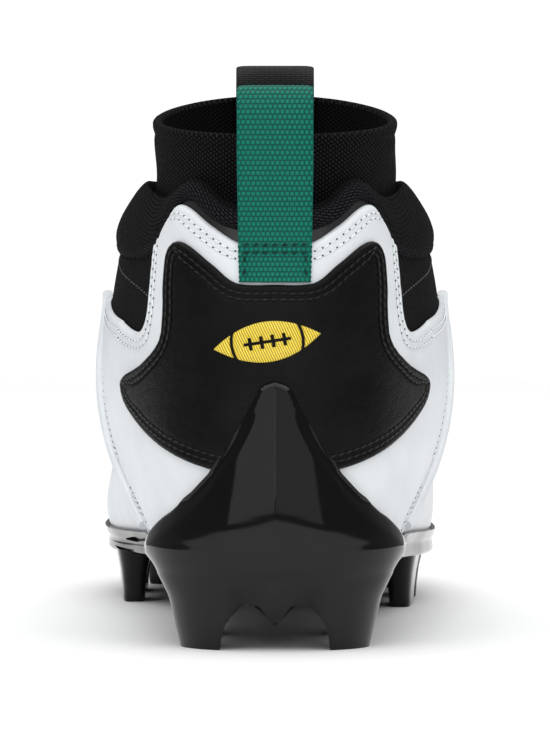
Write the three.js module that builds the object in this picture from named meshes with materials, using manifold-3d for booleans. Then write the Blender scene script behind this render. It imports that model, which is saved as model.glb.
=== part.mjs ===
// A right-foot american football cleat with a knitted sock collar, built as its maker would put it together.
// Millimetres. +Y runs from heel to toe, +X to the outer side of the foot, +Z up, and the studs stand on z = 0.
// While it is being made, x = 0 is the heel's centre line and y = 0 is near the back of the heel leather.
import * as THREE from "three";
import { mergeVertices } from "three/addons/utils/BufferGeometryUtils.js";
import Module from "manifold-3d";

const wasm = await Module();
wasm.setup();

// Driving sizes
const LENGTH = 286; // upper, from heel to toe
const HALF_BALL = 50; // half the upper's width across the ball of the foot
const SEAT = 20; // where the upper meets the plate at the heel, above the ground
const UPPER_HEIGHT = 97; // back of the upper's top edge above the seat
const TOE_SPRING = 10; // lift of the sole under the toe
const HEEL_LEAN = 8; // how far the back curve of the heel reaches
const TOE_REACH = 8; // how far the toe's front curve reaches
const SPIKE = 55; // heel spike's tip above the seat
const SOCK_HALF_WIDE = 34.7; // sock collar, half its width
const SOCK_HALF_LONG = 43.5; // and half its length
const SOCK_MIDDLE = 61; // its middle, forward of the heel
const SOCK_BACK = 144; // its back edge above the ground
const SOCK_RISE = 10; // how much higher its front edge is
const SOCK_DEEP = 42; // how far its back reaches down from its edge
const HEEL_LOOP_TOP = 157.6; // top of the heel's pull loop above the ground
const HEEL_LOOP_WIDE = 21;
const FRONT_LOOP_TOP = 162.3; // top of the front pull loop above the ground
const FRONT_LOOP_WIDE = 22.7;
const CLEAR = 0.3; // gap between pieces that touch

// Thicknesses
const WALL = 2.5; // upper
const LEATHER = 1.4; // overlays
const PLATE = 3.2; // plate under the foot
const PLATE_WALL = 1.9; // plate's side wall
const SPIKE_RIDGE = 6.5; // how far the spike's middle ridge stands out past its edges
const SPIKE_EDGE = 6; // how far the spike's edges stand off the upper
const BLOCK_DEPTH = 11; // how far the heel studs reach in from the heel block's skin
const LIP = 1.6; // radius of the raised lip along the quarter's front edge
const SOCK_WALL = 2.4; // sock collar
const TONGUE = 3; // padded tongue
const INSOLE = 4; // insole
const WEBBING = 1.5; // webbing of both pull loops
const LACE = 1.3; // flat lace
const LACE_WIDE = 6.5;

// The last, one row for each section from the heel to the toe.
// at: share of LENGTH. lift: share of TOE_SPRING. rim: top edge, share of UPPER_HEIGHT above SEAT.
// low, high: heights of the two middle control points, as shares of that rim height.
// heel, toe: how much of the heel's and the toe's curve the section takes.
const PROFILE = [
  { at: 0.0, lift: 0.0, rim: 1.0, low: 0.28, high: 0.7, heel: 1.0, toe: 0 },
  { at: 0.012, lift: 0.0, rim: 1.025, low: 0.28, high: 0.7, heel: 0.95, toe: 0 },
  { at: 0.049, lift: 0.05, rim: 1.09, low: 0.28, high: 0.7, heel: 0.8, toe: 0 },
  { at: 0.126, lift: 0.1, rim: 0.93, low: 0.28, high: 0.7, heel: 0.45, toe: 0 },
  { at: 0.231, lift: 0.15, rim: 0.91, low: 0.3, high: 0.7, heel: 0.15, toe: 0 },
  { at: 0.343, lift: 0.15, rim: 0.93, low: 0.3, high: 0.72, heel: 0, toe: 0 },
  { at: 0.448, lift: 0.05, rim: 0.9, low: 0.3, high: 0.76, heel: 0, toe: 0 },
  { at: 0.552, lift: -0.1, rim: 0.74, low: 0.32, high: 0.86, heel: 0, toe: 0 },
  { at: 0.654, lift: -0.2, rim: 0.6, low: 0.35, high: 0.96, heel: 0, toe: 0 },
  { at: 0.748, lift: -0.2, rim: 0.48, low: 0.4, high: 1.0, heel: 0, toe: 0 },
  { at: 0.843, lift: -0.05, rim: 0.385, low: 0.45, high: 1.0, heel: 0, toe: 0.1 },
  { at: 0.923, lift: 0.25, rim: 0.32, low: 0.5, high: 1.0, heel: 0, toe: 0.35 },
  { at: 0.976, lift: 0.6, rim: 0.285, low: 0.5, high: 1.0, heel: 0, toe: 0.75 },
  { at: 1.0, lift: 0.8, rim: 0.27, low: 0.5, high: 1.0, heel: 0, toe: 1.0 },
];
// Half-widths of the four control points of each section, as shares of HALF_BALL, on the outer side.
const OUTER_SIDE = [
  { foot: 0, low: 0, high: 0, rim: 0 },
  { foot: 0.3, low: 0.33, high: 0.31, rim: 0.28 },
  { foot: 0.52, low: 0.61, high: 0.58, rim: 0.5 },
  { foot: 0.58, low: 0.84, high: 0.81, rim: 0.69 },
  { foot: 0.62, low: 0.99, high: 0.98, rim: 0.87 },
  { foot: 0.67, low: 1.06, high: 1.01, rim: 0.85 },
  { foot: 0.76, low: 1.08, high: 0.95, rim: 0.5 },
  { foot: 0.86, low: 1.1, high: 0.84, rim: 0.34 },
  { foot: 0.92, low: 1.1, high: 0.68, rim: 0.18 },
  { foot: 0.9, low: 1.07, high: 0.54, rim: 0 },
  { foot: 0.81, low: 0.95, high: 0.42, rim: 0 },
  { foot: 0.64, low: 0.74, high: 0.31, rim: 0 },
  { foot: 0.38, low: 0.44, high: 0.19, rim: 0 },
  { foot: 0, low: 0, high: 0, rim: 0 },
];
// The same on the inner side, where the waist is hollow and the ball joint lies further forward.
const INNER_SIDE = [
  { foot: 0, low: 0, high: 0, rim: 0 },
  { foot: 0.3, low: 0.33, high: 0.31, rim: 0.28 },
  { foot: 0.52, low: 0.61, high: 0.58, rim: 0.5 },
  { foot: 0.58, low: 0.84, high: 0.81, rim: 0.69 },
  { foot: 0.6, low: 0.99, high: 0.98, rim: 0.87 },
  { foot: 0.6, low: 1.09, high: 1.0, rim: 0.85 },
  { foot: 0.66, low: 1.11, high: 0.95, rim: 0.5 },
  { foot: 0.8, low: 1.16, high: 0.86, rim: 0.34 },
  { foot: 0.94, low: 1.19, high: 0.74, rim: 0.18 },
  { foot: 0.98, low: 1.2, high: 0.6, rim: 0 },
  { foot: 0.89, low: 1.07, high: 0.46, rim: 0 },
  { foot: 0.7, low: 0.82, high: 0.33, rim: 0 },
  { foot: 0.41, low: 0.47, high: 0.2, rim: 0 },
  { foot: 0, low: 0, high: 0, rim: 0 },
];
// How the four control points reach past the plain section, as shares of HEEL_LEAN and of TOE_REACH.
const HEEL_CURVE = { foot: 1.15, low: -0.25, high: 0.95, rim: 1.3 };
const TOE_CURVE = { foot: -0.4, low: 0.6, high: -0.2, rim: -1.9 };

const CONTROLS = ["foot", "low", "high", "rim"];
const TOE = PROFILE.length - 1; // station of the toe, counted from the heel
const ROUND = 2 * TOE; // stations once round the shoe, out along the outer side and back along the inner
const VAMP = 9; // station where the throat closes

// Places read from behind or from the side: shares of HALF_BALL, LENGTH and, above SEAT, UPPER_HEIGHT.
const across = (share) => share * HALF_BALL;
const along = (share) => share * LENGTH;
const upward = (share) => SEAT + share * UPPER_HEIGHT;

const lerp = (a, b, t) => a + (b - a) * t;
const clamp = (x, low, high) => Math.min(high, Math.max(low, x));
const vec = (x, y, z) => new THREE.Vector3(x, y, z);
const range = (n) => Array.from({ length: n }, (_, i) => i);

// Reads a column of a table by straight lines between its rows; key is the column that runs on.
function look(table, key, column, value) {
  const last = table.length - 1;
  const i = clamp(
    table.findIndex((row) => row[key] > value) - 1,
    0,
    last - 1,
  );
  const at = value >= table[last][key] ? last - 1 : i;
  const t = clamp((value - table[at][key]) / (table[at + 1][key] - table[at][key]), 0, 1);
  return lerp(table[at][column], table[at + 1][column], t);
}

// The four control points of one station, on the side that the station lies on.
function stationControls(station) {
  const inner = station > TOE;
  const row = PROFILE[inner ? ROUND - station : station];
  const side = (inner ? INNER_SIDE : OUTER_SIDE)[inner ? ROUND - station : station];
  const seat = SEAT + row.lift * TOE_SPRING;
  const tall = SEAT + row.rim * UPPER_HEIGHT - seat;
  const up = { foot: 0, low: row.low, high: row.high, rim: 1 };
  return CONTROLS.map((name) =>
    vec(
      (inner ? -1 : 1) * side[name] * HALF_BALL,
      row.at * LENGTH + row.heel * HEEL_CURVE[name] * HEEL_LEAN + row.toe * TOE_CURVE[name] * TOE_REACH,
      seat + up[name] * tall,
    ),
  );
}
const LOOP = range(ROUND).map(stationControls);

function catmull(a, b, c, d, t) {
  return 0.5 * (2 * b + (c - a) * t + (2 * a - 5 * b + 4 * c - d) * t * t + (3 * b - a - 3 * c + d) * t ** 3);
}

const isClosed = (u) => u >= VAMP && u <= ROUND - VAMP;

// A point of the last's surface. u counts stations round the shoe from the heel; v runs from the seat to the rim.
function lastPoint(u, v) {
  const around = ((u % ROUND) + ROUND) % ROUND;
  const i = Math.floor(around);
  const t = around - i;
  const rows = [i + ROUND - 1, i, i + 1, i + 2].map((k) => LOOP[k % ROUND]);
  const controls = CONTROLS.map((_, k) =>
    vec(...["x", "y", "z"].map((axis) => catmull(...rows.map((row) => row[k][axis]), t))),
  );
  const rim = controls[3];
  if (isClosed(around)) rim.x = 0;
  else rim.x = around < TOE ? Math.max(0, rim.x) : Math.min(0, rim.x);
  if (around < 1 || around > ROUND - 1) rim.x = catmull(...rows.map((row) => row[3].x), t);
  const w = 1 - v;
  const shares = [w ** 3, 3 * w * w * v, 3 * w * v * v, v ** 3];
  return controls.reduce((sum, c, k) => sum.addScaledVector(c, shares[k]), vec(0, 0, 0));
}

function rawNormal(u, v) {
  const step = 0.02;
  const round = lastPoint(u + step, v).sub(lastPoint(u - step, v));
  const up = lastPoint(u, Math.min(1, v + step)).sub(lastPoint(u, Math.max(0, v - step)));
  return round.cross(up).normalize();
}

// The outward normal; on the ridge line both sides share one.
function lastNormal(u, v) {
  const normal = rawNormal(u, v);
  const around = ((u % ROUND) + ROUND) % ROUND;
  if (v > 0.999 && isClosed(around)) {
    normal.add(rawNormal(ROUND - around, v)).setX(0).normalize();
  }
  return normal;
}

const skin = (u, v, out) => lastPoint(u, v).addScaledVector(lastNormal(u, v), out);

// The v at which the surface has a given height.
function vAt(u, z) {
  let low = 0;
  let high = 1;
  for (const _ of range(24)) {
    const mid = (low + high) / 2;
    if (lastPoint(u, mid).z < z) low = mid;
    else high = mid;
  }
  return (low + high) / 2;
}

// A closed solid from two grids of points, an outer and an inner one, joined round their edges.
// wrap joins the last column to the first; sealed says which columns have no edge along their top.
function gridSolid(columns, rows, outer, inner, { wrap = false, sealed = () => false } = {}) {
  const grids = [outer, inner].map((at) => range(columns).map((i) => range(rows).map((j) => at(i, j))));
  const corners = [];
  const quad = (a, b, c, d) => corners.push(a, b, c, a, c, d);
  const [out, back] = grids;
  const spans = wrap ? columns : columns - 1;
  for (const i of range(spans)) {
    const k = (i + 1) % columns;
    for (const j of range(rows - 1)) {
      quad(out[i][j], out[k][j], out[k][j + 1], out[i][j + 1]);
      quad(back[i][j], back[i][j + 1], back[k][j + 1], back[k][j]);
    }
    quad(out[k][0], out[i][0], back[i][0], back[k][0]);
    const top = rows - 1;
    if (!(sealed(i) && sealed(k))) quad(out[i][top], out[k][top], back[k][top], back[i][top]);
  }
  if (!wrap) {
    const end = columns - 1;
    for (const j of range(rows - 1)) {
      quad(out[0][j], out[0][j + 1], back[0][j + 1], back[0][j]);
      quad(out[end][j + 1], out[end][j], back[end][j], back[end][j + 1]);
    }
  }
  const geometry = new THREE.BufferGeometry();
  geometry.setAttribute("position", new THREE.Float32BufferAttribute(corners.flatMap((p) => [p.x, p.y, p.z]), 3));
  return geometry;
}

// A three.js geometry as a solid for cutting and joining.
function toSolid(geometry) {
  const bare = new THREE.BufferGeometry();
  const source = geometry.index ? geometry.toNonIndexed() : geometry;
  bare.setAttribute("position", source.getAttribute("position"));
  const merged = mergeVertices(bare, 1e-3);
  const kept = [];
  const index = merged.index.array;
  for (let i = 0; i < index.length; i += 3) {
    const [a, b, c] = [index[i], index[i + 1], index[i + 2]];
    if (a !== b && b !== c && a !== c) kept.push(a, b, c);
  }
  return new wasm.Manifold(
    new wasm.Mesh({
      numProp: 3,
      vertProperties: merged.getAttribute("position").array,
      triVerts: new Uint32Array(kept),
    }),
  );
}

function toGeometry(solid) {
  const { vertProperties, triVerts, numProp } = solid.getMesh();
  const positions = new Float32Array((vertProperties.length / numProp) * 3);
  for (let i = 0; i < positions.length / 3; i++) {
    positions.set(vertProperties.subarray(i * numProp, i * numProp + 3), i * 3);
  }
  const geometry = new THREE.BufferGeometry();
  geometry.setAttribute("position", new THREE.BufferAttribute(positions, 3));
  geometry.setIndex(new THREE.BufferAttribute(triVerts, 1));
  geometry.computeVertexNormals();
  return geometry;
}

const joinAll = (solids) => solids.reduce((sum, next) => sum.add(next));

// An outline pushed straight through the shoe: "rear" reads its points as (x, z), "side" as (y, z), "plan" as (x, y).
const PRISM_AXES = {
  rear: [vec(1, 0, 0), vec(0, 0, 1), vec(0, -1, 0)],
  side: [vec(0, 1, 0), vec(0, 0, 1), vec(1, 0, 0)],
  plan: [vec(1, 0, 0), vec(0, 1, 0), vec(0, 0, 1)],
};
function prism(view, shape, from, to) {
  const geometry = new THREE.ExtrudeGeometry(shape, { depth: to - from, bevelEnabled: false, curveSegments: 2 });
  const axes = PRISM_AXES[view];
  const start = view === "rear" ? vec(0, to, 0) : axes[2].clone().multiplyScalar(from);
  geometry.applyMatrix4(new THREE.Matrix4().makeBasis(...axes).setPosition(start));
  return toSolid(geometry);
}

// A closed shape through points, rounded except where a point says corner.
function smoothShape(points) {
  const shape = new THREE.Shape();
  const first = points.findIndex((p) => p.corner);
  const turned = [...points.slice(first), ...points.slice(0, first + 1)];
  shape.moveTo(turned[0].x, turned[0].y);
  let run = [];
  for (const p of turned.slice(1)) {
    run.push(new THREE.Vector2(p.x, p.y));
    if (p.corner) {
      if (run.length > 1) shape.splineThru(run);
      else shape.lineTo(p.x, p.y);
      run = [];
    }
  }
  return shape;
}

// A strip of even width and thickness along a path, lying flat on the given normals. cup says how far its edges bend
// along y from its middle, by the share of the way along it.
function ribbon(path, normals, width, thick, cup = () => 0, columns = 2) {
  const sideways = path.map((p, i) => {
    const forward = path[Math.min(i + 1, path.length - 1)].clone().sub(path[Math.max(i - 1, 0)]);
    return forward.cross(normals[i]).normalize();
  });
  const at = (lift) => (i, j) => {
    const share = 0.5 - j / (columns - 1);
    const bend = vec(0, cup(i / (path.length - 1)) * (2 * share) ** 2, 0);
    return path[i].clone().addScaledVector(sideways[i], share * width).addScaledVector(normals[i], lift).add(bend);
  };
  return gridSolid(path.length, columns, at(thick / 2), at(-thick / 2));
}

function mesh(name, geometry, color, roughness, metalness = 0) {
  const made = new THREE.Mesh(geometry, new THREE.MeshStandardMaterial({ color, roughness, metalness }));
  made.name = name;
  return made;
}

const BLACK_KNIT = 0x17171a;
const BLACK_LEATHER = 0x1b1b1d;
const WHITE_LEATHER = 0xe9ecee;
const GLOSS_BLACK = 0x0c0c0e;
const GREEN = 0x0a7d63;

// Every layer shares the upper's stations, so that their faces run side by side.
const STEP = 0.5; // stations between two columns of faces
const ROWS = 9; // rows of faces' corners up the upper
const stationsFrom = (from, to) => range(Math.round((to - from) / STEP) + 1).map((i) => from + i * STEP);

// Upper: one hollow wall, open at the collar, the throat and underneath.
function makeUpper() {
  const at = (out) => (i, j) => skin(i * STEP, j / (ROWS - 1), out);
  return gridSolid(ROUND / STEP, ROWS, at(0), at(-WALL), { wrap: true, sealed: (i) => isClosed(i * STEP) });
}

// A shell that follows the last between two offsets, from a share of its height (which may vary with the station) up
// to another, over a run of stations. Its rows are the upper's.
function lastShell(from, to, bottom, top, inside, outside, sealed = () => false) {
  const stations = stationsFrom(from, to);
  const rows = range(ROWS).map((j) => j / (ROWS - 1)).filter((v) => v > bottom(from) + 0.04 && v < top);
  const at = (out) => (i, j) => {
    const low = bottom(stations[i]);
    const v = [low, ...rows, top][j];
    return skin(stations[i], Math.max(v, low + 0.01 * j), out);
  };
  const ends = { sealed: (i) => sealed(stations[i]) };
  return toSolid(gridSolid(stations.length, rows.length + 2, at(outside), at(inside), ends));
}

// Overlays, each layer lying CLEAR above the one below
const QUARTER_IN = CLEAR;
const QUARTER_OUT = QUARTER_IN + LEATHER;
const PANEL_IN = QUARTER_OUT + CLEAR;
const PANEL_OUT = PANEL_IN + LEATHER;
const QUARTER_FRONT = 6; // last station that the quarter reaches

// Top edge of the quarter, read from behind (x, z) on the outer side and mirrored.
const QUARTER_TOP = [
  { x: 0, z: 0.964 },
  { x: 0.2, z: 0.967 },
  { x: 0.37, z: 1.018 },
  { x: 0.492, z: 1.066 },
  { x: 0.565, z: 1.074 },
  { x: 0.642, z: 1.041 },
  { x: 0.69, z: 0.965 },
  { x: 0.715, z: 0.855 },
  { x: 0.736, z: 0.749 },
  { x: 0.774, z: 0.703 },
  { x: 0.837, z: 0.703 },
  { x: 0.923, z: 0.736 },
];
const REAR_REACH = 0.185; // how far forward that reading holds, as a share of LENGTH
// From there on it is read from the side (y, z): forward along the ankle, then down the lip to the plate's wing.
const QUARTER_SHOULDER = [
  { y: 0.185, z: 0.708 },
  { y: 0.23, z: 0.735 },
  { y: 0.285, z: 0.765 },
];
const QUARTER_LIP = [
  { y: 0.334, z: 0.785 },
  { y: 0.35, z: 0.71 },
  { y: 0.336, z: 0.577 },
  { y: 0.292, z: 0.412 },
  { y: 0.23, z: 0.25 },
  { y: 0.172, z: 0.133 },
];
const FAR = 400; // beyond every part of the shoe

const rearPoints = (rows) => rows.map(({ x, z, corner }) => ({ x: across(x), y: upward(z), corner }));
const sidePoints = (rows) => rows.map(({ y, z }) => ({ x: along(y), y: upward(z) }));

function makeQuarter() {
  const shell = lastShell(-QUARTER_FRONT, QUARTER_FRONT, () => 0.02, 0.985, QUARTER_IN, QUARTER_OUT);
  const top = rearPoints(QUARTER_TOP);
  const edge = top.at(-1).y;
  const left = top.slice(1).reverse().map((p) => ({ ...p, x: -p.x }));
  const above = smoothShape([
    { ...left[0], corner: true },
    ...left.slice(1),
    ...top.slice(0, -1),
    { ...top.at(-1), corner: true },
    { x: FAR, y: edge, corner: true },
    { x: FAR, y: FAR, corner: true },
    { x: -FAR, y: FAR, corner: true },
    { x: -FAR, y: edge, corner: true },
  ]);
  const shoulder = sidePoints(QUARTER_SHOULDER);
  const lip = sidePoints(QUARTER_LIP);
  const ahead = smoothShape([
    { ...shoulder[0], corner: true },
    ...shoulder.slice(1),
    { ...lip[0], corner: true },
    ...lip.slice(1, -1),
    { ...lip.at(-1), corner: true },
    { x: lip.at(-1).x, y: 0, corner: true },
    { x: FAR, y: 0, corner: true },
    { x: FAR, y: FAR, corner: true },
    { x: shoulder[0].x, y: FAR, corner: true },
  ]);
  const flat = shell
    .subtract(prism("rear", above, -FAR, along(REAR_REACH)))
    .subtract(prism("side", ahead, -FAR, FAR));
  return joinAll([flat, makeLip(1), makeLip(-1)]);
}

// The station at which the last has a given height and way forward, on the outer side (1) or the inner (-1).
function sideStation(y, z, side) {
  let low = 1.5;
  let high = 8;
  for (const _ of range(24)) {
    const mid = (low + high) / 2;
    const u = side > 0 ? mid : ROUND - mid;
    if (lastPoint(u, vAt(u, z)).y < y) low = mid;
    else high = mid;
  }
  return side > 0 ? low : ROUND - low;
}

// The raised lip: a cord of leather let into the quarter's front edge.
const LIP_STEPS = 10;
const LIP_SIDES = 6;
function makeLip(side) {
  const edge = sidePoints(QUARTER_LIP).map((p) => new THREE.Vector2(p.x, p.y));
  const spots = new THREE.SplineCurve(edge).getPoints(LIP_STEPS).map((p) => {
    const u = sideStation(p.x - LIP, p.y, side);
    const v = vAt(u, p.y);
    return { middle: skin(u, v, QUARTER_OUT + LIP * 0.25), out: lastNormal(u, v) };
  });
  const ring = (k, j) => {
    const { middle, out } = spots[j];
    const forward = spots[Math.min(j + 1, LIP_STEPS)].middle.clone().sub(spots[Math.max(j - 1, 0)].middle);
    const level = forward.cross(out).normalize();
    const angle = (2 * Math.PI * k) / LIP_SIDES;
    return middle.clone().addScaledVector(out, LIP * Math.sin(angle)).addScaledVector(level, LIP * Math.cos(angle));
  };
  return toSolid(columnSolid(LIP_STEPS + 1, LIP_SIDES, (k, j) => ring(LIP_SIDES - 1 - k, j)));
}

// Outline of the heel panel, read from behind (x, z) on the outer side and mirrored.
const PANEL_OUTLINE = [
  { x: 0, z: 0.849, corner: true },
  { x: 0.22, z: 0.853 },
  { x: 0.366, z: 0.907 },
  { x: 0.503, z: 0.96 },
  { x: 0.58, z: 0.968 },
  { x: 0.626, z: 0.931 },
  { x: 0.643, z: 0.847 },
  { x: 0.647, z: 0.743 },
  { x: 0.672, z: 0.674 },
  { x: 0.773, z: 0.608 },
  { x: 0.874, z: 0.568 },
  { x: 0.891, z: 0.528 },
  { x: 0.848, z: 0.469 },
  { x: 0.719, z: 0.397 },
  { x: 0.554, z: 0.346 },
  { x: 0.32, z: 0.31 },
  { x: 0, z: 0.293 },
];
function makePanel() {
  const shell = lastShell(-4.5, 4.5, () => 0.2, 0.97, PANEL_IN, PANEL_OUT);
  const outline = rearPoints(PANEL_OUTLINE);
  const left = outline.slice(1, -1).reverse().map((p) => ({ ...p, x: -p.x }));
  return shell.intersect(prism("rear", smoothShape([...outline, ...left]), -FAR, along(REAR_REACH)));
}

// Plate: top edge of its wall round the shoe, as a share of SPIKE above the seat there, by station.
const PLATE_TOP = [
  { u: 0, rise: 1 },
  { u: 0.115, rise: 0.993 },
  { u: 0.245, rise: 0.967 },
  { u: 0.33, rise: 0.904 },
  { u: 0.47, rise: 0.826 },
  { u: 0.75, rise: 0.682 },
  { u: 1.08, rise: 0.538 },
  { u: 1.4, rise: 0.441 },
  { u: 1.9, rise: 0.339 },
  { u: 2.5, rise: 0.254 },
  { u: 2.92, rise: 0.2 },
  { u: 3.3, rise: 0.15 },
  { u: 3.6, rise: 0.125 },
  { u: 4.2, rise: 0.095 },
  { u: 5, rise: 0.075 },
  { u: 8, rise: 0.065 },
  { u: 9.5, rise: 0.07 },
  { u: 11, rise: 0.09 },
  { u: 12, rise: 0.12 },
  { u: 13, rise: 0.14 },
];
// Lower edge of the heel block, read from behind: keel, arch, stud and wing, as shares of SEAT above the ground.
const HEEL_BOTTOM = [
  { u: 0, z: 0.365 },
  { u: 0.15, z: 0.46 },
  { u: 0.28, z: 0.565 },
  { u: 0.41, z: 0.645 },
  { u: 0.53, z: 0.645 },
  { u: 0.7, z: 0.54 },
  { u: 0.85, z: 0.37 },
  { u: 0.95, z: 0.2 },
  { u: 1.03, z: 0 },
  { u: 1.25, z: 0 },
  { u: 1.5, z: 0 },
  { u: 1.75, z: 0 },
  { u: 2, z: 0 },
  { u: 2.04, z: 0.815 },
  { u: 2.25, z: 0.815 },
  { u: 2.5, z: 0.82 },
  { u: 3, z: 0.825 },
  { u: 3.5, z: 0.83 },
  { u: 4, z: 0.83 },
  { u: 4.5, z: 0.83 },
];
// The heel block's outer skin. level: 0 ground, 1 seat, 2 tip of the spike. ridge, edge and flank: how far the middle
// ridge, the back's edges and the wings stand out, as shares of SPIKE_RIDGE and SPIKE_EDGE. width: the block's width
// as a share of the last's.
const HEEL_SKIN = [
  { level: 0, ridge: 1, edge: 0.9, flank: 0.3, width: 0.8 },
  { level: 0.34, ridge: 1.2, edge: 0.95, flank: 0.3, width: 0.845 },
  { level: 0.7, ridge: 1.25, edge: 0.95, flank: 0.3, width: 0.89 },
  { level: 0.85, ridge: 1.2, edge: 0.93, flank: 0.36, width: 0.94 },
  { level: 1.05, ridge: 1.05, edge: 0.92, flank: 0.68, width: 0.985 },
  { level: 1.13, ridge: 0.95, edge: 0.88, flank: 0.82, width: 0.99 },
  { level: 1.2, ridge: 0.85, edge: 0.84, flank: 1, width: 1 },
  { level: 1.3, ridge: 0.7, edge: 0.78, flank: 0.9, width: 1 },
  { level: 1.55, ridge: 0.52, edge: 0.78, flank: 0.78, width: 1 },
  { level: 1.82, ridge: 0.32, edge: 0.86, flank: 0.86, width: 1 },
  { level: 2, ridge: 0.1, edge: 0.86, flank: 0.86, width: 1 },
];
const WING = 3.3; // station of the wing tips
const SIDE_PLATE_IN = QUARTER_OUT + CLEAR; // inside of the plate where it lies over the quarter
const HEEL_PLATE_IN = PANEL_OUT + CLEAR; // and where it lies over the panel

const folded = (u) => Math.min(u, ROUND - u);
const seatAt = (u) => lastPoint(u, 0).z;
const plateTop = (u) => seatAt(u) + SPIKE * look(PLATE_TOP, "u", "rise", folded(u));

// The station at which the plate's top edge comes down to a height.
function reachAt(z) {
  let low = 0.05;
  let high = WING;
  for (const _ of range(20)) {
    const mid = (low + high) / 2;
    if (plateTop(mid) > z) low = mid;
    else high = mid;
  }
  return low;
}

// A point of the last carried straight down below the seat, and pushed out or in level.
function skinBelow(u, z, out) {
  const seat = seatAt(u);
  const v = z > seat ? vAt(u, z) : 0;
  const base = lastPoint(u, v);
  const normal = lastNormal(u, v);
  if (z <= seat) {
    base.z = z;
    normal.setZ(0).normalize();
  }
  return base.addScaledVector(normal, out);
}

const levelOf = (z) => (z < SEAT ? z / SEAT : 1 + (z - SEAT) / SPIKE);

// How far the heel block's skin stands off the last: back, then wing, then run out into the plate's side wall.
function heelOut(u, z) {
  const tent = 1 - clamp(folded(u) / reachAt(z), 0, 1);
  const column = (name) => look(HEEL_SKIN, "level", name, levelOf(z));
  const toFlank = clamp((folded(u) - 1.8) / 0.9, 0, 1);
  const runOut = clamp((folded(u) - WING) / (HEEL_BOTTOM.at(-1).u - WING), 0, 1);
  const proud = SPIKE_EDGE * lerp(column("edge"), column("flank"), toFlank) + SPIKE_RIDGE * column("ridge") * tent;
  return lerp(proud, SIDE_PLATE_IN + PLATE_WALL * 0.6, runOut);
}

// A point of the heel block pushed out by some way, narrowed below the seat.
function heelPoint(u, z, out) {
  const p = skinBelow(u, z, out);
  p.x *= look(HEEL_SKIN, "level", "width", levelOf(z));
  return p;
}

// Inside of the heel block: on the leather above the seat, and a stud's depth in from its skin below it, straight
// forward at the back of the heel and level inward at the wings.
function heelInside(u, z) {
  if (z < seatAt(u) - 1.5 * CLEAR) {
    const toFlank = clamp((folded(u) - 1.2) / 0.85, 0, 1);
    const inward = lastNormal(u, 0).setZ(0).normalize().negate();
    const push = vec(0, 1, 0).lerp(inward, toFlank).normalize();
    return heelPoint(u, z, heelOut(u, z)).addScaledVector(push, BLOCK_DEPTH);
  }
  const overPanel = clamp((z - upward(PANEL_OUTLINE.at(-1).z)) / LEATHER / 2 + 3, 0, 1);
  return skinBelow(u, z, lerp(SIDE_PLATE_IN, HEEL_PLATE_IN, overPanel));
}

// The block has one row of corners along the seat, some below it and some above.
const ROWS_BELOW = 4;
const ROWS_ABOVE = 6;
function makeHeelBlock() {
  const half = HEEL_BOTTOM.map((row) => row.u);
  const stations = [...half.slice(1).reverse().map((u) => -u), ...half];
  const at = (point) => (i, j) => {
    const u = stations[i];
    const bottom = SEAT * look(HEEL_BOTTOM, "u", "z", Math.abs(u));
    const seat = seatAt(u) - CLEAR;
    if (j < ROWS_BELOW) return point(u, lerp(bottom, seat, j / ROWS_BELOW));
    return point(u, lerp(seat, plateTop(Math.abs(u)), (j - ROWS_BELOW) / ROWS_ABOVE));
  };
  const outer = (u, z) => heelPoint(u, z, heelOut(u, z));
  return toSolid(gridSolid(stations.length, ROWS_BELOW + ROWS_ABOVE + 1, at(outer), at(heelInside)));
}

const plateIn = (u) => lerp(SIDE_PLATE_IN, CLEAR, clamp((folded(u) - 4.4) / 1.2, 0, 1));

// Side wall of the plate, from wing to wing round the toe.
function makePlateWall() {
  const stations = stationsFrom(4, ROUND - 4);
  const rows = 4;
  const at = (thick) => (i, j) => {
    const u = stations[i];
    const share = j / (rows - 1);
    const z = lerp(seatAt(u) - PLATE - CLEAR, plateTop(u), share);
    const tuck = j === 0 ? PLATE_WALL * 0.6 : 0;
    return skinBelow(u, z, plateIn(u) + thick * (PLATE_WALL * (1 - 0.35 * share) - tuck));
  };
  return toSolid(gridSolid(stations.length, rows, at(1), at(0)));
}

// A slab under or on the foot between two heights over the seat, inside the last by a margin.
function footSlab(inset, low, high, rows, from) {
  const stations = [from, ...stationsFrom(STEP, TOE - STEP), TOE - from];
  const at = (rise) => (i, j) => {
    const u = stations[i];
    const outer = skinBelow(u, seatAt(u), -inset(u));
    const inner = skinBelow(ROUND - u, seatAt(u), -inset(u));
    return outer.lerp(inner, j / (rows - 1)).setZ(seatAt(u) + rise);
  };
  return toSolid(gridSolid(stations.length, rows, at(high), at(low)));
}

// The station at which the seat's edge is a given way forward.
function footStation(y) {
  let low = 0;
  let high = TOE;
  for (const _ of range(24)) {
    const mid = (low + high) / 2;
    if (lastPoint(mid, 0).y < y) low = mid;
    else high = mid;
  }
  return low;
}

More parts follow.
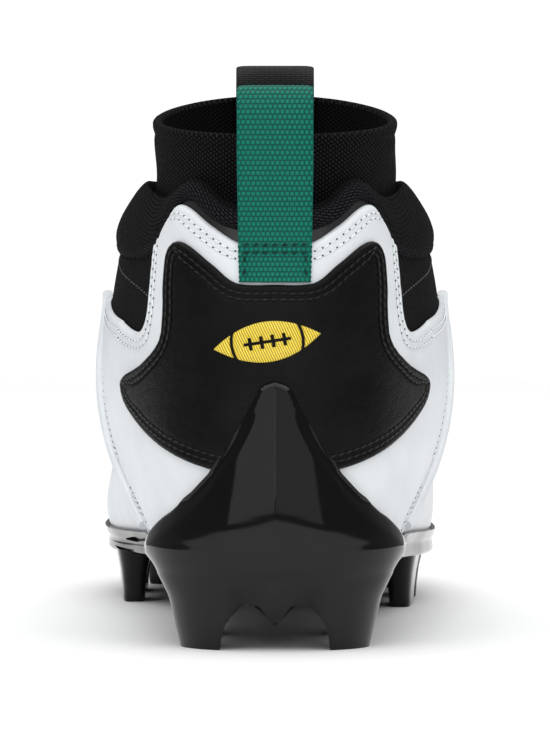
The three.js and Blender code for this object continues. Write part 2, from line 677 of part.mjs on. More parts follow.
// Studs, each a blade that narrows downward. x, y: middle of its foot, as shares of HALF_BALL and LENGTH.
// long, wide: its foot, as shares of STUD_LONG and STUD_WIDE. turn: degrees.
const STUD_LONG = 17;
const STUD_WIDE = 6.5;
const STUDS = [
  { x: 0.43, y: 0.203, long: 0.88, wide: 1.4, turn: 4 },
  { x: -0.43, y: 0.203, long: 0.88, wide: 1.4, turn: -4 },
  { x: 0.76, y: 0.56, long: 1, wide: 1, turn: -6 },
  { x: -0.86, y: 0.63, long: 1, wide: 1, turn: 4 },
  { x: 0.79, y: 0.69, long: 1, wide: 1, turn: 4 },
  { x: -0.86, y: 0.75, long: 1, wide: 1, turn: -6 },
  { x: 0.68, y: 0.82, long: 0.94, wide: 1, turn: 18 },
  { x: -0.68, y: 0.865, long: 0.94, wide: 1, turn: -22 },
  { x: 0, y: 0.93, long: 0.53, wide: 3, turn: 0 },
  { x: 0.08, y: 0.664, long: 0.82, wide: 1.4, turn: -12 },
  { x: -0.14, y: 0.783, long: 0.82, wide: 1.4, turn: 12 },
];
// How a stud spreads from its foot to its root.
const STUD_FLARE = [
  { up: 0, grow: 1 },
  { up: 0.3, grow: 1.08 },
  { up: 0.6, grow: 1.25 },
  { up: 1, grow: 1.65 },
];
function makeStud({ x, y, long, wide, turn }) {
  const root = seatAt(footStation(along(y))) - CLEAR - PLATE / 2;
  const corners = [[-1, -1], [1, -1], [1, 1], [-1, 1]];
  const angle = THREE.MathUtils.degToRad(turn);
  const at = (k, j) => {
    const { up, grow } = STUD_FLARE[j];
    const px = (corners[k][0] * STUD_WIDE * wide * grow) / 2;
    const py = (corners[k][1] * STUD_LONG * long * grow) / 2;
    const [cos, sin] = [Math.cos(angle), Math.sin(angle)];
    return vec(across(x) + px * cos - py * sin, along(y) + px * sin + py * cos, root * up);
  };
  return toSolid(columnSolid(STUD_FLARE.length, corners.length, at));
}

// A closed column from rings of points, capped flat at both ends; at(k, j) is corner k of ring j, counted round.
function columnSolid(rings, corners, at) {
  const list = [];
  for (const j of range(rings - 1)) {
    for (const k of range(corners)) {
      const next = (k + 1) % corners;
      list.push(at(k, j), at(next, j), at(next, j + 1), at(k, j), at(next, j + 1), at(k, j + 1));
    }
  }
  for (const k of range(corners - 2)) {
    list.push(at(0, 0), at(k + 2, 0), at(k + 1, 0));
    list.push(at(0, rings - 1), at(k + 1, rings - 1), at(k + 2, rings - 1));
  }
  const geometry = new THREE.BufferGeometry();
  geometry.setAttribute("position", new THREE.Float32BufferAttribute(list.flatMap((p) => [p.x, p.y, p.z]), 3));
  return geometry;
}

// Keel under the plate: a wedge along the middle of the heel that runs out under the arch. y: share of LENGTH;
// drop: its edge above the ground, share of SEAT; half: half-width, share of HALF_BALL.
const KEEL = [
  { y: 0.01, drop: 0.345, half: 0.19 },
  { y: 0.105, drop: 0.42, half: 0.17 },
  { y: 0.217, drop: 0.575, half: 0.12 },
  { y: 0.315, drop: 0.75, half: 0.08 },
];
function makeKeel() {
  const top = SEAT - CLEAR - PLATE / 2;
  const at = (k, j) => {
    const { y, drop, half } = KEEL[j];
    return [vec(0, along(y), SEAT * drop), vec(across(half), along(y), top), vec(-across(half), along(y), top)][k];
  };
  return toSolid(columnSolid(KEEL.length, 3, (k, j) => at(2 - k, j)));
}

function makeOutsole() {
  const margin = (u) => -(plateIn(u) + PLATE_WALL * 0.45) * clamp(folded(u) - WING + 1, 0, 1);
  const slab = footSlab(margin, -PLATE - CLEAR, -CLEAR, 4, 0.06);
  return joinAll([slab, makePlateWall(), makeHeelBlock(), makeKeel(), ...STUDS.map(makeStud)]);
}

// Sock collar: an oval knitted ring that rises out of the shoe. The angle runs from the back round the outer side.
function sockPoint(angle, z, out) {
  const x = Math.sin(angle) * (SOCK_HALF_WIDE + out);
  return vec(x, SOCK_MIDDLE - Math.cos(angle) * (SOCK_HALF_LONG + out), z);
}
function sockEdge(angle) {
  return SOCK_BACK + (SOCK_RISE * (1 - Math.cos(angle))) / 2 - (SOCK_RISE / 8) * Math.sin(angle) ** 2;
}
function makeSock() {
  const columns = 32;
  const rows = 5;
  const at = (out) => (i, j) => {
    const angle = (2 * Math.PI * i) / columns;
    const share = j / (rows - 1);
    const waist = (SOCK_WALL / 2) * Math.sin(Math.PI * share);
    return sockPoint(angle, lerp(SOCK_BACK - SOCK_DEEP, sockEdge(angle), share), out - waist);
  };
  return gridSolid(columns, rows, at(0), at(-SOCK_WALL), { wrap: true });
}

// Collar pad: a roll along the rim, hooked inside the wall. By station: how far it rises over the rim and how far it
// bulges out past it, as shares of PAD_RISE.
const PAD_RISE = 21;
const PAD_DEPTH = 13; // how far it hangs down inside the wall
const PAD = [
  { u: 0, rise: 0.29, bulge: 0.08 },
  { u: 1, rise: 0.26, bulge: 0.07 },
  { u: 2, rise: 0.24, bulge: 0.06 },
  { u: 2.5, rise: 0.4, bulge: 0.06 },
  { u: 3, rise: 0.8, bulge: 0.06 },
  { u: 3.5, rise: 0.97, bulge: 0.06 },
  { u: 4, rise: 1, bulge: 0.06 },
  { u: 5, rise: 0.85, bulge: 0.06 },
];
// Past its last section each end rounds off. on: how far past, as a share of PAD_END; shrink: how much smaller.
const PAD_END = 8;
const PAD_ROUND = [
  { on: 0.45, shrink: 0.16 },
  { on: 0.85, shrink: 0.48 },
  { on: 1, shrink: 0.8 },
];
const PAD_HOOK = WALL + 4 * CLEAR; // the pad's lining lies this far inside the upper's outer face
function padSection(u) {
  const rise = PAD_RISE * look(PAD, "u", "rise", Math.abs(u));
  const bulge = PAD_RISE * look(PAD, "u", "bulge", Math.abs(u));
  const rim = lastPoint(u, 1);
  const angle = Math.atan2(rim.x / SOCK_HALF_WIDE, -(rim.y - SOCK_MIDDLE) / SOCK_HALF_LONG);
  const sock = (z) => sockPoint(angle, z, 2 * CLEAR);
  const flat = lastNormal(u, 1).setZ(0).normalize();
  // A point between the rim (0) and the sock (1), so high above the rim, and pushed out.
  const at = (inward, up, out) =>
    rim.clone().lerp(sock(rim.z), inward).addScaledVector(flat, out).setZ(rim.z + rise * up);
  const lift = 2 * CLEAR;
  const low = skin(u, vAt(u, rim.z - PAD_DEPTH), -PAD_HOOK);
  return [
    low,
    skin(u, 1, -PAD_HOOK).setZ(rim.z - lift * 2),
    skin(u, 1, -WALL).setZ(rim.z + lift * 1.6),
    at(0, 0, bulge * 0.3).setZ(rim.z + lift * 1.6),
    at(0.04, 0.3, bulge),
    at(0.3, 0.62, bulge),
    at(0.58, 0.88, bulge * 0.6),
    at(0.82, 1, 0),
    sock(rim.z + rise * 0.86),
    sock(rim.z - PAD_DEPTH),
  ];
}
function roundEnd(last, before) {
  const middleOf = (section) => section.reduce((sum, p) => sum.add(p), vec(0, 0, 0)).divideScalar(section.length);
  const middle = middleOf(last);
  const onward = middle.clone().sub(middleOf(before)).normalize();
  return PAD_ROUND.map(({ on, shrink }) =>
    last.map((p) => p.clone().lerp(middle, shrink).addScaledVector(onward, on * PAD_END)),
  );
}
function makePad() {
  const laid = stationsFrom(-PAD.at(-1).u, PAD.at(-1).u).map(padSection);
  const sections = [...roundEnd(laid[0], laid[1]).reverse(), ...laid, ...roundEnd(laid.at(-1), laid.at(-2))];
  const corners = sections[0].length;
  return columnSolid(sections.length, corners, (k, j) => sections[j][corners - 1 - k]);
}

// Tongue: lies under the throat, and its end leans on the front of the sock collar.
const TONGUE_FROM = 9.5;
const TONGUE_TO = 6;
const TONGUE_EDGES = [0.7, 0.75, 0.875, 0.97];
const TONGUE_BRIDGE = [0.25, 0.5, 0.75];
const TONGUE_TOP = 1.02; // its end, as a share of UPPER_HEIGHT above SEAT
const TONGUE_SPREAD = 0.64; // half of its end's spread round the sock collar, in radians
const TONGUE_IN = WALL + 3 * CLEAR;
function tongueSection(u, drop) {
  const outer = TONGUE_EDGES.map((v) => skin(u, v, -drop));
  const inner = TONGUE_EDGES.map((v) => skin(ROUND - u, v, -drop)).reverse();
  const [a, b] = [outer.at(-1), inner[0]];
  const crown = (a.x - b.x) * 0.08;
  const bridge = TONGUE_BRIDGE.map((t) => {
    const p = a.clone().lerp(b, t);
    return p.setZ(p.z + crown * Math.sin(Math.PI * t));
  });
  return [...outer, ...bridge, ...inner];
}
function tongueEnd(share, drop, from) {
  return from.map((p, i) => {
    const angle = Math.PI - lerp(TONGUE_SPREAD, -TONGUE_SPREAD, i / (from.length - 1));
    const end = sockPoint(angle, upward(TONGUE_TOP) + (drop - TONGUE_IN) * 0.5, CLEAR + TONGUE_IN + TONGUE - drop);
    return p.clone().lerp(end, share);
  });
}
function makeTongue() {
  const stations = stationsFrom(TONGUE_TO, TONGUE_FROM).reverse();
  const sections = (drop) => {
    const laid = stations.map((u) => tongueSection(u, drop));
    return [...laid, ...[0.35, 0.7, 1].map((share) => tongueEnd(share, drop, laid.at(-1)))];
  };
  const outer = sections(TONGUE_IN);
  const inner = sections(TONGUE_IN + TONGUE);
  return gridSolid(outer.length, outer[0].length, (i, j) => inner[i][j], (i, j) => outer[i][j]);
}

// The v of a point a given way down from the rim.
function vBelowRim(u, way) {
  const rim = lastPoint(u, 1);
  let low = 0.4;
  let high = 1;
  for (const _ of range(20)) {
    const mid = (low + high) / 2;
    if (lastPoint(u, mid).distanceTo(rim) > way) low = mid;
    else high = mid;
  }
  return low;
}

// Eyestay: a leather overlay of even width round the throat, its front trimmed to a round end.
const EYESTAY_WIDE = 16;
const EYESTAY_BACK = 6; // station where its two arms begin
const EYESTAY_TIP = [
  { x: -0.8, y: 0.3, corner: true },
  { x: 0.8, y: 0.3, corner: true },
  { x: 0.5, y: 0.7, corner: true },
  { x: 0.3, y: 0.77 },
  { x: 0, y: 0.795 },
  { x: -0.3, y: 0.77 },
  { x: -0.5, y: 0.7, corner: true },
];
function makeEyestay() {
  const bottom = (u) => vBelowRim(u, EYESTAY_WIDE);
  const shell = lastShell(EYESTAY_BACK, ROUND - EYESTAY_BACK, bottom, 1, CLEAR, QUARTER_OUT, isClosed);
  const trim = smoothShape(EYESTAY_TIP.map(({ x, y, corner }) => ({ x: across(x), y: along(y), corner })));
  return shell.intersect(prism("plan", trim, 0, FAR));
}

// Laces: crossings over the throat between rows of eyelets.
const EYELETS = [6.3, 6.9, 7.45, 8.0, 8.5]; // stations of the eyelet rows
const EYELET_IN = 7; // how far the eyelets lie from the throat's edge
const LACE_LIFT = QUARTER_OUT + 2 * CLEAR + LACE / 2;
const LACE_STEPS = 4;

// One strand from the outer side at station a to the inner side at station b, bowed up over the tongue.
function laceStrand(a, b, over) {
  const from = skin(a, vBelowRim(a, EYELET_IN), LACE_LIFT);
  const to = skin(ROUND - b, vBelowRim(b, EYELET_IN), LACE_LIFT);
  const rimA = skin(a, 1, LACE_LIFT);
  const rimB = skin(ROUND - b, 1, LACE_LIFT);
  const middle = rimA.clone().lerp(rimB, 0.5);
  middle.z += over * LACE;
  const path = new THREE.CatmullRomCurve3([from, rimA, middle, rimB, to]).getPoints(LACE_STEPS);
  const normalA = lastNormal(a, 0.97);
  const normalB = lastNormal(ROUND - b, 0.97);
  const normals = path.map((_, i) => normalA.clone().lerp(normalB, i / LACE_STEPS).normalize());
  return toSolid(ribbon(path, normals, LACE_WIDE, LACE));
}
function makeLaces() {
  const last = EYELETS.at(-1);
  const strands = [laceStrand(last, last, 0.8)];
  for (const i of range(EYELETS.length - 1)) {
    strands.push(laceStrand(EYELETS[i], EYELETS[i + 1], 1.2));
    strands.push(laceStrand(EYELETS[i + 1], EYELETS[i], 1.2));
  }
  return joinAll(strands);
}

// Pull loops: strips of webbing folded over at the top, one leg outside the collar and one inside it.
// inward: share of the way from the outer leg to the inner; up: share of the height from the legs' start to the top.
const HEEL_LOOP = [
  { inward: 0, up: 0.1 },
  { inward: -0.03, up: 0.35 },
  { inward: 0.02, up: 0.65 },
  { inward: 0.12, up: 0.88 },
  { inward: 0.4, up: 1 },
  { inward: 0.75, up: 0.93 },
  { inward: 0.95, up: 0.8 },
  { inward: 1, up: 0.62 },
  { inward: 1, up: 0.45 },
];
const FRONT_LOOP = [
  { inward: 0, up: 0 },
  { inward: 0, up: 0.35 },
  { inward: -0.4, up: 0.72 },
  { inward: -0.1, up: 0.97 },
  { inward: 0.8, up: 1 },
  { inward: 1.3, up: 0.75 },
  { inward: 1.05, up: 0.4 },
  { inward: 1, up: 0.1 },
];
const FRONT_LOOP_DEEP = 11; // how far the front loop's legs reach down from the sock's edge
const SOCK_IN = SOCK_WALL * 1.5 + CLEAR + WEBBING / 2; // from the sock's outer face to the middle of an inner leg

// How far the sides of a strip bend away from its middle where it lies on the sock, and where it lies on the heel.
const sockBend = (width) => SOCK_HALF_LONG * (1 - Math.sqrt(1 - (width / 2 / SOCK_HALF_WIDE) ** 2));
function heelBend(width, v) {
  let low = 0;
  let high = 2;
  for (const _ of range(20)) {
    const mid = (low + high) / 2;
    if (lastPoint(mid, v).x < width / 2) low = mid;
    else high = mid;
  }
  return lastPoint(low, v).y - lastPoint(0, v).y;
}
function webbing(points, width, bend) {
  const path = new THREE.CatmullRomCurve3(points).getPoints(Math.round(points.length * 1.5));
  const normals = path.map((_, i) => {
    const onward = path[Math.min(i + 1, path.length - 1)].clone().sub(path[Math.max(i - 1, 0)]);
    return onward.cross(vec(-1, 0, 0)).normalize();
  });
  return ribbon(path, normals, width, WEBBING, bend, 5);
}
function loopPoints(table, outside, inside, bottom, top) {
  return table.map(({ inward, up }) => vec(0, lerp(outside, inside, inward), lerp(bottom, top, up)));
}
function makeHeelLoop() {
  const half = WEBBING / 2;
  const sewn = [0.855, 0.895, 0.94].map((share) => skin(0, vAt(0, upward(share)), QUARTER_OUT + CLEAR + half));
  const rim = lastPoint(0, 1);
  const outside = rim.y - PAD_RISE * PAD[0].bulge - 2 * CLEAR - half;
  const inside = SOCK_MIDDLE - SOCK_HALF_LONG + SOCK_IN;
  const points = [...sewn, ...loopPoints(HEEL_LOOP, outside, inside, rim.z, HEEL_LOOP_TOP - half)];
  const bends = [heelBend(HEEL_LOOP_WIDE, 0.9), sockBend(HEEL_LOOP_WIDE)];
  return webbing(points, HEEL_LOOP_WIDE, (share) => lerp(...bends, clamp(share * 2 - 0.6, 0, 1)));
}
function makeFrontLoop() {
  const half = WEBBING / 2;
  const front = SOCK_MIDDLE + SOCK_HALF_LONG;
  const bottom = SOCK_BACK + SOCK_RISE - FRONT_LOOP_DEEP;
  const points = loopPoints(FRONT_LOOP, front + CLEAR + half, front - SOCK_IN, bottom, FRONT_LOOP_TOP - half);
  const bend = (share) => -sockBend(FRONT_LOOP_WIDE) * clamp((Math.abs(2 * share - 1) - 0.2) / 0.38, 0, 1);
  return webbing(points, FRONT_LOOP_WIDE, bend);
}

const shoe = new THREE.Group();
shoe.name = "american_football_cleat";
shoe.add(
  mesh("upper", makeUpper(), WHITE_LEATHER, 0.55),
  mesh("quarter", toGeometry(makeQuarter()), WHITE_LEATHER, 0.4),
  mesh("heel_panel", toGeometry(makePanel()), BLACK_LEATHER, 0.5),
  mesh("outsole", toGeometry(makeOutsole()), GLOSS_BLACK, 0.15),
  mesh("sock_collar", makeSock(), BLACK_KNIT, 0.95),
  mesh("collar_pad", makePad(), BLACK_KNIT, 0.95),
  mesh("tongue", makeTongue(), BLACK_KNIT, 0.9),
  mesh("eyestay", toGeometry(makeEyestay()), BLACK_LEATHER, 0.5),
  mesh("laces", toGeometry(makeLaces()), BLACK_KNIT, 0.85),
  mesh("insole", toGeometry(footSlab(() => WALL + CLEAR, CLEAR, CLEAR + INSOLE, 3, 0.25)), BLACK_KNIT, 0.9),
  mesh("heel_pull_loop", makeHeelLoop(), GREEN, 0.8),
  mesh("front_pull_loop", makeFrontLoop(), BLACK_KNIT, 0.85),
);

// The origin is on the ground, below the middle of the whole shoe.
const middle = new THREE.Box3().setFromObject(shoe).getCenter(vec(0, 0, 0));
shoe.position.set(-middle.x, -middle.y, 0);

export default shoe;
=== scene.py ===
# A right-foot american football cleat in a white studio, seen from behind.
# Shapes are worked out in millimetres from the shoe's own sizes, with x = 0 on the heel's centre line, y = 0
# near the back of the heel and z = 0 on the floor, and are then placed in the frame, in metres.
import math

import bmesh
import bpy
import numpy as np
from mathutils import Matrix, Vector


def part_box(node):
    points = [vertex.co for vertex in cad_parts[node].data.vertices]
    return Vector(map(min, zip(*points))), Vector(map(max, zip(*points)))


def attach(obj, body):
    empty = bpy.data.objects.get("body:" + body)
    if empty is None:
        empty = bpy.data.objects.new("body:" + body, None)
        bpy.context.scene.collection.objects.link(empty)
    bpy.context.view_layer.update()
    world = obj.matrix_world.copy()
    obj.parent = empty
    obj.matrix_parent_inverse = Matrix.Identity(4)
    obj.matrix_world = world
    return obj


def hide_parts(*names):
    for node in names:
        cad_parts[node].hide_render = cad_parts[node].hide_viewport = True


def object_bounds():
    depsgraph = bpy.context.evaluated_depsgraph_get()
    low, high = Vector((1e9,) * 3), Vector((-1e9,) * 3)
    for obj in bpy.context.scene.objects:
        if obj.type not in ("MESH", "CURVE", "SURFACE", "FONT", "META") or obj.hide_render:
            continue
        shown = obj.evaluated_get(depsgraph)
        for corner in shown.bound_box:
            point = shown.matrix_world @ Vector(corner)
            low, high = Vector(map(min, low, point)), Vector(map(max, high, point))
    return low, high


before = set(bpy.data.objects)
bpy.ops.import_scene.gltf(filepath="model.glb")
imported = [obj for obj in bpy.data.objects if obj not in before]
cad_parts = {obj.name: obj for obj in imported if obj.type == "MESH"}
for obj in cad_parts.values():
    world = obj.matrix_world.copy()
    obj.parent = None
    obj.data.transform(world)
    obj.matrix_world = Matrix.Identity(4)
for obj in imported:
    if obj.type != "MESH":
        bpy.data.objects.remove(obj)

CAD_BOX = [list(corner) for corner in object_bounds()]
MM = 0.001

# Sizes of the shoe, in millimetres
LENGTH = 286
HALF_BALL = 50
SEAT = 20
UPPER_HEIGHT = 97
TOE_SPRING = 10
HEEL_LEAN = 8
TOE_REACH = 8
SPIKE = 55
SOCK_HALF_WIDE = 34.7
SOCK_HALF_LONG = 43.5
SOCK_MIDDLE = 61
SOCK_BACK = 144
SOCK_RISE = 10
SOCK_DEEP = 42
HEEL_LOOP_TOP = 157.6
HEEL_LOOP_WIDE = 21
FRONT_LOOP_TOP = 162.3
FRONT_LOOP_WIDE = 22.7
CLEAR = 0.3
WALL = 2.5
LEATHER = 1.4
PLATE = 3.2
PLATE_WALL = 1.9
SPIKE_RIDGE = 6.5
SPIKE_EDGE = 6
BLOCK_DEPTH = 11
LIP = 1.6
SOCK_WALL = 2.4
TONGUE = 3
INSOLE = 4
WEBBING = 1.5
LACE = 1.3
LACE_WIDE = 6.5

# The sock collar is a ring round SOCK_MIDDLE, so its box says where the shoe stands in the frame.
sock_low, sock_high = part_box("sock_collar")
SHIFT = np.array([(sock_low.x + sock_high.x) / 2 / MM, (sock_low.y + sock_high.y) / 2 / MM - SOCK_MIDDLE, 0])


def in_frame(points):
    return (np.asarray(points, float) + SHIFT) * MM


# ---- The last: one row for each section from the heel to the toe ----
# at, lift, rim, low, high, heel, toe
PROFILE = np.array([
    [0.0, 0.0, 1.0, 0.28, 0.7, 1.0, 0], [0.012, 0.0, 1.025, 0.28, 0.7, 0.95, 0],
    [0.049, 0.05, 1.09, 0.28, 0.7, 0.8, 0], [0.126, 0.1, 0.93, 0.28, 0.7, 0.45, 0],
    [0.231, 0.15, 0.91, 0.3, 0.7, 0.15, 0], [0.343, 0.15, 0.93, 0.3, 0.72, 0, 0],
    [0.448, 0.05, 0.9, 0.3, 0.76, 0, 0], [0.552, -0.1, 0.74, 0.32, 0.86, 0, 0],
    [0.654, -0.2, 0.6, 0.35, 0.96, 0, 0], [0.748, -0.2, 0.48, 0.4, 1.0, 0, 0],
    [0.843, -0.05, 0.385, 0.45, 1.0, 0, 0.1], [0.923, 0.25, 0.32, 0.5, 1.0, 0, 0.35],
    [0.976, 0.6, 0.285, 0.5, 1.0, 0, 0.75], [1.0, 0.8, 0.27, 0.5, 1.0, 0, 1.0],
])
# Half-widths at the foot, low, high and rim control points
OUTER_SIDE = np.array([
    [0, 0, 0, 0], [0.3, 0.33, 0.31, 0.28], [0.52, 0.61, 0.58, 0.5], [0.58, 0.84, 0.81, 0.69],
    [0.62, 0.99, 0.98, 0.87], [0.67, 1.06, 1.01, 0.85], [0.76, 1.08, 0.95, 0.5], [0.86, 1.1, 0.84, 0.34],
    [0.92, 1.1, 0.68, 0.18], [0.9, 1.07, 0.54, 0], [0.81, 0.95, 0.42, 0], [0.64, 0.74, 0.31, 0],
    [0.38, 0.44, 0.19, 0], [0, 0, 0, 0],
])
INNER_SIDE = np.array([
    [0, 0, 0, 0], [0.3, 0.33, 0.31, 0.28], [0.52, 0.61, 0.58, 0.5], [0.58, 0.84, 0.81, 0.69],
    [0.6, 0.99, 0.98, 0.87], [0.6, 1.09, 1.0, 0.85], [0.66, 1.11, 0.95, 0.5], [0.8, 1.16, 0.86, 0.34],
    [0.94, 1.19, 0.74, 0.18], [0.98, 1.2, 0.6, 0], [0.89, 1.07, 0.46, 0], [0.7, 0.82, 0.33, 0],
    [0.41, 0.47, 0.2, 0], [0, 0, 0, 0],
])
HEEL_CURVE = np.array([1.15, -0.25, 0.95, 1.3])
TOE_CURVE = np.array([-0.4, 0.6, -0.2, -1.9])
TOE = len(PROFILE) - 1
ROUND = 2 * TOE
VAMP = 9


def station_controls(station):
    inner = station > TOE
    k = ROUND - station if inner else station
    at, lift, rim, low, high, heel, toe = PROFILE[k]
    side = (INNER_SIDE if inner else OUTER_SIDE)[k]
    seat = SEAT + lift * TOE_SPRING
    tall = SEAT + rim * UPPER_HEIGHT - seat
    x = (-1 if inner else 1) * side * HALF_BALL
    y = at * LENGTH + heel * HEEL_CURVE * HEEL_LEAN + toe * TOE_CURVE * TOE_REACH
    z = seat + np.array([0, low, high, 1]) * tall
    return np.stack([x, y, z], -1)


LOOP = np.array([station_controls(k) for k in range(ROUND)])


def across(share):
    return share * HALF_BALL


def along(share):
    return share * LENGTH


def upward(share):
    return SEAT + share * UPPER_HEIGHT


def lerp(a, b, t):
    return a + (b - a) * t


def soft_step(t):
    t = np.clip(t, 0, 1)
    return t * t * (3 - 2 * t)


def unit(v):
    return v / np.maximum(np.linalg.norm(v, axis=-1, keepdims=True), 1e-9)


def catmull(a, b, c, d, t):
    square, cube = 2 * a - 5 * b + 4 * c - d, 3 * b - a - 3 * c + d
    return 0.5 * (2 * b + (c - a) * t + square * t**2 + cube * t**3)


def spline(points, count):
    """A smooth line through points, count points long."""
    points = np.asarray(points, float)
    ends = np.concatenate([points[:1], points, points[-1:]])
    s = np.linspace(0, len(points) - 1, count)
    i = np.minimum(s.astype(int), len(points) - 2)
    t = (s - i)[:, None]
    return catmull(ends[i], ends[i + 1], ends[i + 2], ends[i + 3], t)


def last_point(u, v):
    """A point of the last: u counts stations round the shoe from the heel, v runs from seat to rim."""
    u, v = np.broadcast_arrays(np.asarray(u, float), np.asarray(v, float))
    turn = np.mod(u, ROUND)
    i = np.floor(turn).astype(int)
    t = (turn - i)[..., None, None]
    controls = catmull(*[LOOP[(i + k) % ROUND] for k in (-1, 0, 1, 2)], t)
    raw = controls[..., 3, 0].copy()
    closed = (turn >= VAMP) & (turn <= ROUND - VAMP)
    x = np.where(closed, 0, np.where(turn < TOE, np.maximum(0, raw), np.minimum(0, raw)))
    controls[..., 3, 0] = np.where((turn < 1) | (turn > ROUND - 1), raw, x)
    w = 1 - v
    shares = np.stack([w**3, 3 * w * w * v, 3 * w * v * v, v**3], -1)
    return (controls * shares[..., None]).sum(-2)


def raw_normal(u, v):
    step = 0.02
    around = last_point(u + step, v) - last_point(u - step, v)
    up = last_point(u, np.minimum(1, v + step)) - last_point(u, np.maximum(0, v - step))
    return unit(np.cross(around, up))


def last_normal(u, v):
    u, v = np.broadcast_arrays(np.asarray(u, float), np.asarray(v, float))
    normal = raw_normal(u, v)
    turn = np.mod(u, ROUND)
    ridge = (v > 0.999) & (turn >= VAMP) & (turn <= ROUND - VAMP)
    both = normal + raw_normal(ROUND - turn, v)
    both[..., 0] = 0
    return np.where(ridge[..., None], unit(both), normal)


def skin(u, v, out):
    return last_point(u, v) + last_normal(u, v) * np.asarray(out, float)[..., None]


def bisect(too_low, low, high, steps=18):
    """Both ends of what is left of a range, after halving it towards where too_low turns false."""
    for _ in range(steps):
        mid = (low + high) / 2
        under = too_low(mid)
        low, high = np.where(under, mid, low), np.where(under, high, mid)
    return low, high


def v_at(u, z):
    """The v at which the last has a given height."""
    u, z = np.broadcast_arrays(np.asarray(u, float), np.asarray(z, float))
    low, high = bisect(lambda v: last_point(u, v)[..., 2] < z, np.zeros(u.shape), np.ones(u.shape))
    return (low + high) / 2


def seat_at(u):
    return last_point(u, 0)[..., 2]


def folded(u):
    turn = np.mod(u, ROUND)
    return np.minimum(turn, ROUND - turn)


def rear_uv(x, z):
    """The station and v where the heel shows a point (x, z) from behind."""
    ends = np.full(x.shape, 3.0)
    u = bisect(lambda u: last_point(u, v_at(u, z))[..., 0] < x, -ends, ends)[0]
    return u, v_at(u, z)


def grid(us, vs):
    return np.meshgrid(us, vs, indexing="ij")


def lengths(points):
    """The way along a line at each of its points."""
    return np.concatenate([[0], np.cumsum(np.linalg.norm(np.diff(points, axis=0), axis=1))])


def over_and_under(over, under):
    """Two grids of one sheet, joined to a closed loop of columns."""
    return np.concatenate([over, under[:, ::-1], over[:, :1]], 1)


def spread(a, b):
    """A UV map from values across and values along."""
    return np.stack(np.broadcast_arrays(a, b), -1)


# ---- Meshes ----
def grid_faces(n, m, flip=False):
    a = np.arange(n - 1)[:, None] * m + np.arange(m - 1)[None, :]
    quads = np.stack([a, a + m, a + m + 1, a + 1], -1).reshape(-1, 4)
    return quads[:, ::-1] if flip else quads


SHARP = math.radians(48)  # edges that turn more than this stay sharp
OUTLINE_STEPS = 8  # points from one row of an outline to the next


class Piece:
    """One mesh, gathered from parts that each have their own material."""

    def __init__(self, name, *materials):
        self.name, self.materials = name, materials
        self.points, self.faces, self.kinds, self.uvs, self.count = [], [], [], [], 0

    def add(self, points, faces, kind=0, uv=None):
        points = np.asarray(points, float).reshape(-1, 3)
        uv = np.zeros((len(points), 2)) if uv is None else np.asarray(uv, float).reshape(-1, 2)
        self.points.append(points)
        self.uvs.append(uv)
        faces = [[int(k) + self.count for k in face] for face in faces]
        self.faces += faces
        self.kinds += [kind] * len(faces)
        self.count += len(points)

    def add_grid(self, points, kind=0, uv=None, flip=False):
        self.add(points, grid_faces(*points.shape[:2], flip), kind, uv)

    def add_tube(self, rings, kind=0, uv=None):
        """A tube through rings of points, closed at both ends."""
        self.add_grid(np.concatenate([rings, rings[:, :1]], 1), kind, uv)
        ring = list(range(rings.shape[1]))
        self.add(rings[0], [ring], kind)
        self.add(rings[-1], [ring[::-1]], kind)

    def add_ends(self, over, under):
        """The two ends of a sheet between two grids."""
        for end, flip in ((0, False), (-1, True)):
            self.add_grid(np.stack([over[end], under[end]], 1), flip=flip)

    def build(self, replaces=(), merge=0.0):
        mesh = bpy.data.meshes.new(self.name)
        mesh.from_pydata(in_frame(np.concatenate(self.points)).tolist(), [], self.faces)
        uv = np.concatenate(self.uvs)
        layer = mesh.uv_layers.new(name="UVMap")
        corners = np.zeros(len(mesh.loops), np.int32)
        mesh.loops.foreach_get("vertex_index", corners)
        layer.data.foreach_set("uv", uv[corners].astype(np.float32).ravel())
        for material in self.materials:
            mesh.materials.append(material)
        mesh.polygons.foreach_set("material_index", np.array(self.kinds, np.int32))
        mesh.polygons.foreach_set("use_smooth", np.ones(len(mesh.polygons), bool))
        mesh.update()
        mesh.set_sharp_from_angle(angle=SHARP)
        piece = bpy.data.objects.new(self.name, mesh)
        bpy.context.scene.collection.objects.link(piece)
        if merge:
            work = bmesh.new()
            work.from_mesh(mesh)
            bmesh.ops.remove_doubles(work, verts=work.verts, dist=merge * MM)
            work.to_mesh(mesh)
            work.free()
        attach(piece, "root")
        if replaces:
            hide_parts(*replaces)
        return piece


def smooth_outline(rows):
    """A closed outline through points, rounded except at those marked as corners."""
    first = next(k for k, row in enumerate(rows) if len(row) > 2)
    turned = list(rows[first:]) + list(rows[:first + 1])
    line, run = [np.array(turned[0][:2], float)], [turned[0][:2]]
    for row in turned[1:]:
        run.append(row[:2])
        if len(row) > 2:
            if len(run) > 2:
                line += list(spline(run, OUTLINE_STEPS * (len(run) - 1) + 1)[1:])
            else:
                line.append(np.array(row[:2], float))
            run = [row[:2]]
    return np.array(line[:-1])


def outline_distance(points, outline):
    """Signed distance from a closed outline, negative inside."""
    p = points.reshape(-1, 2)
    best = np.full(len(p), 1e9)
    inside = np.zeros(len(p), bool)
    for start, end in zip(outline, np.roll(outline, -1, 0)):
        way = end - start
        share = np.clip((p - start) @ way / max(way @ way, 1e-12), 0, 1)
        gap = p - start - share[:, None] * way
        best = np.minimum(best, (gap**2).sum(1))
        if way[1]:
            crosses = (start[1] > p[:, 1]) != (end[1] > p[:, 1])
            inside ^= crosses & (p[:, 0] < start[0] + (p[:, 1] - start[1]) * way[0] / way[1])
    return (np.where(inside, -1, 1) * np.sqrt(best)).reshape(points.shape[:2])


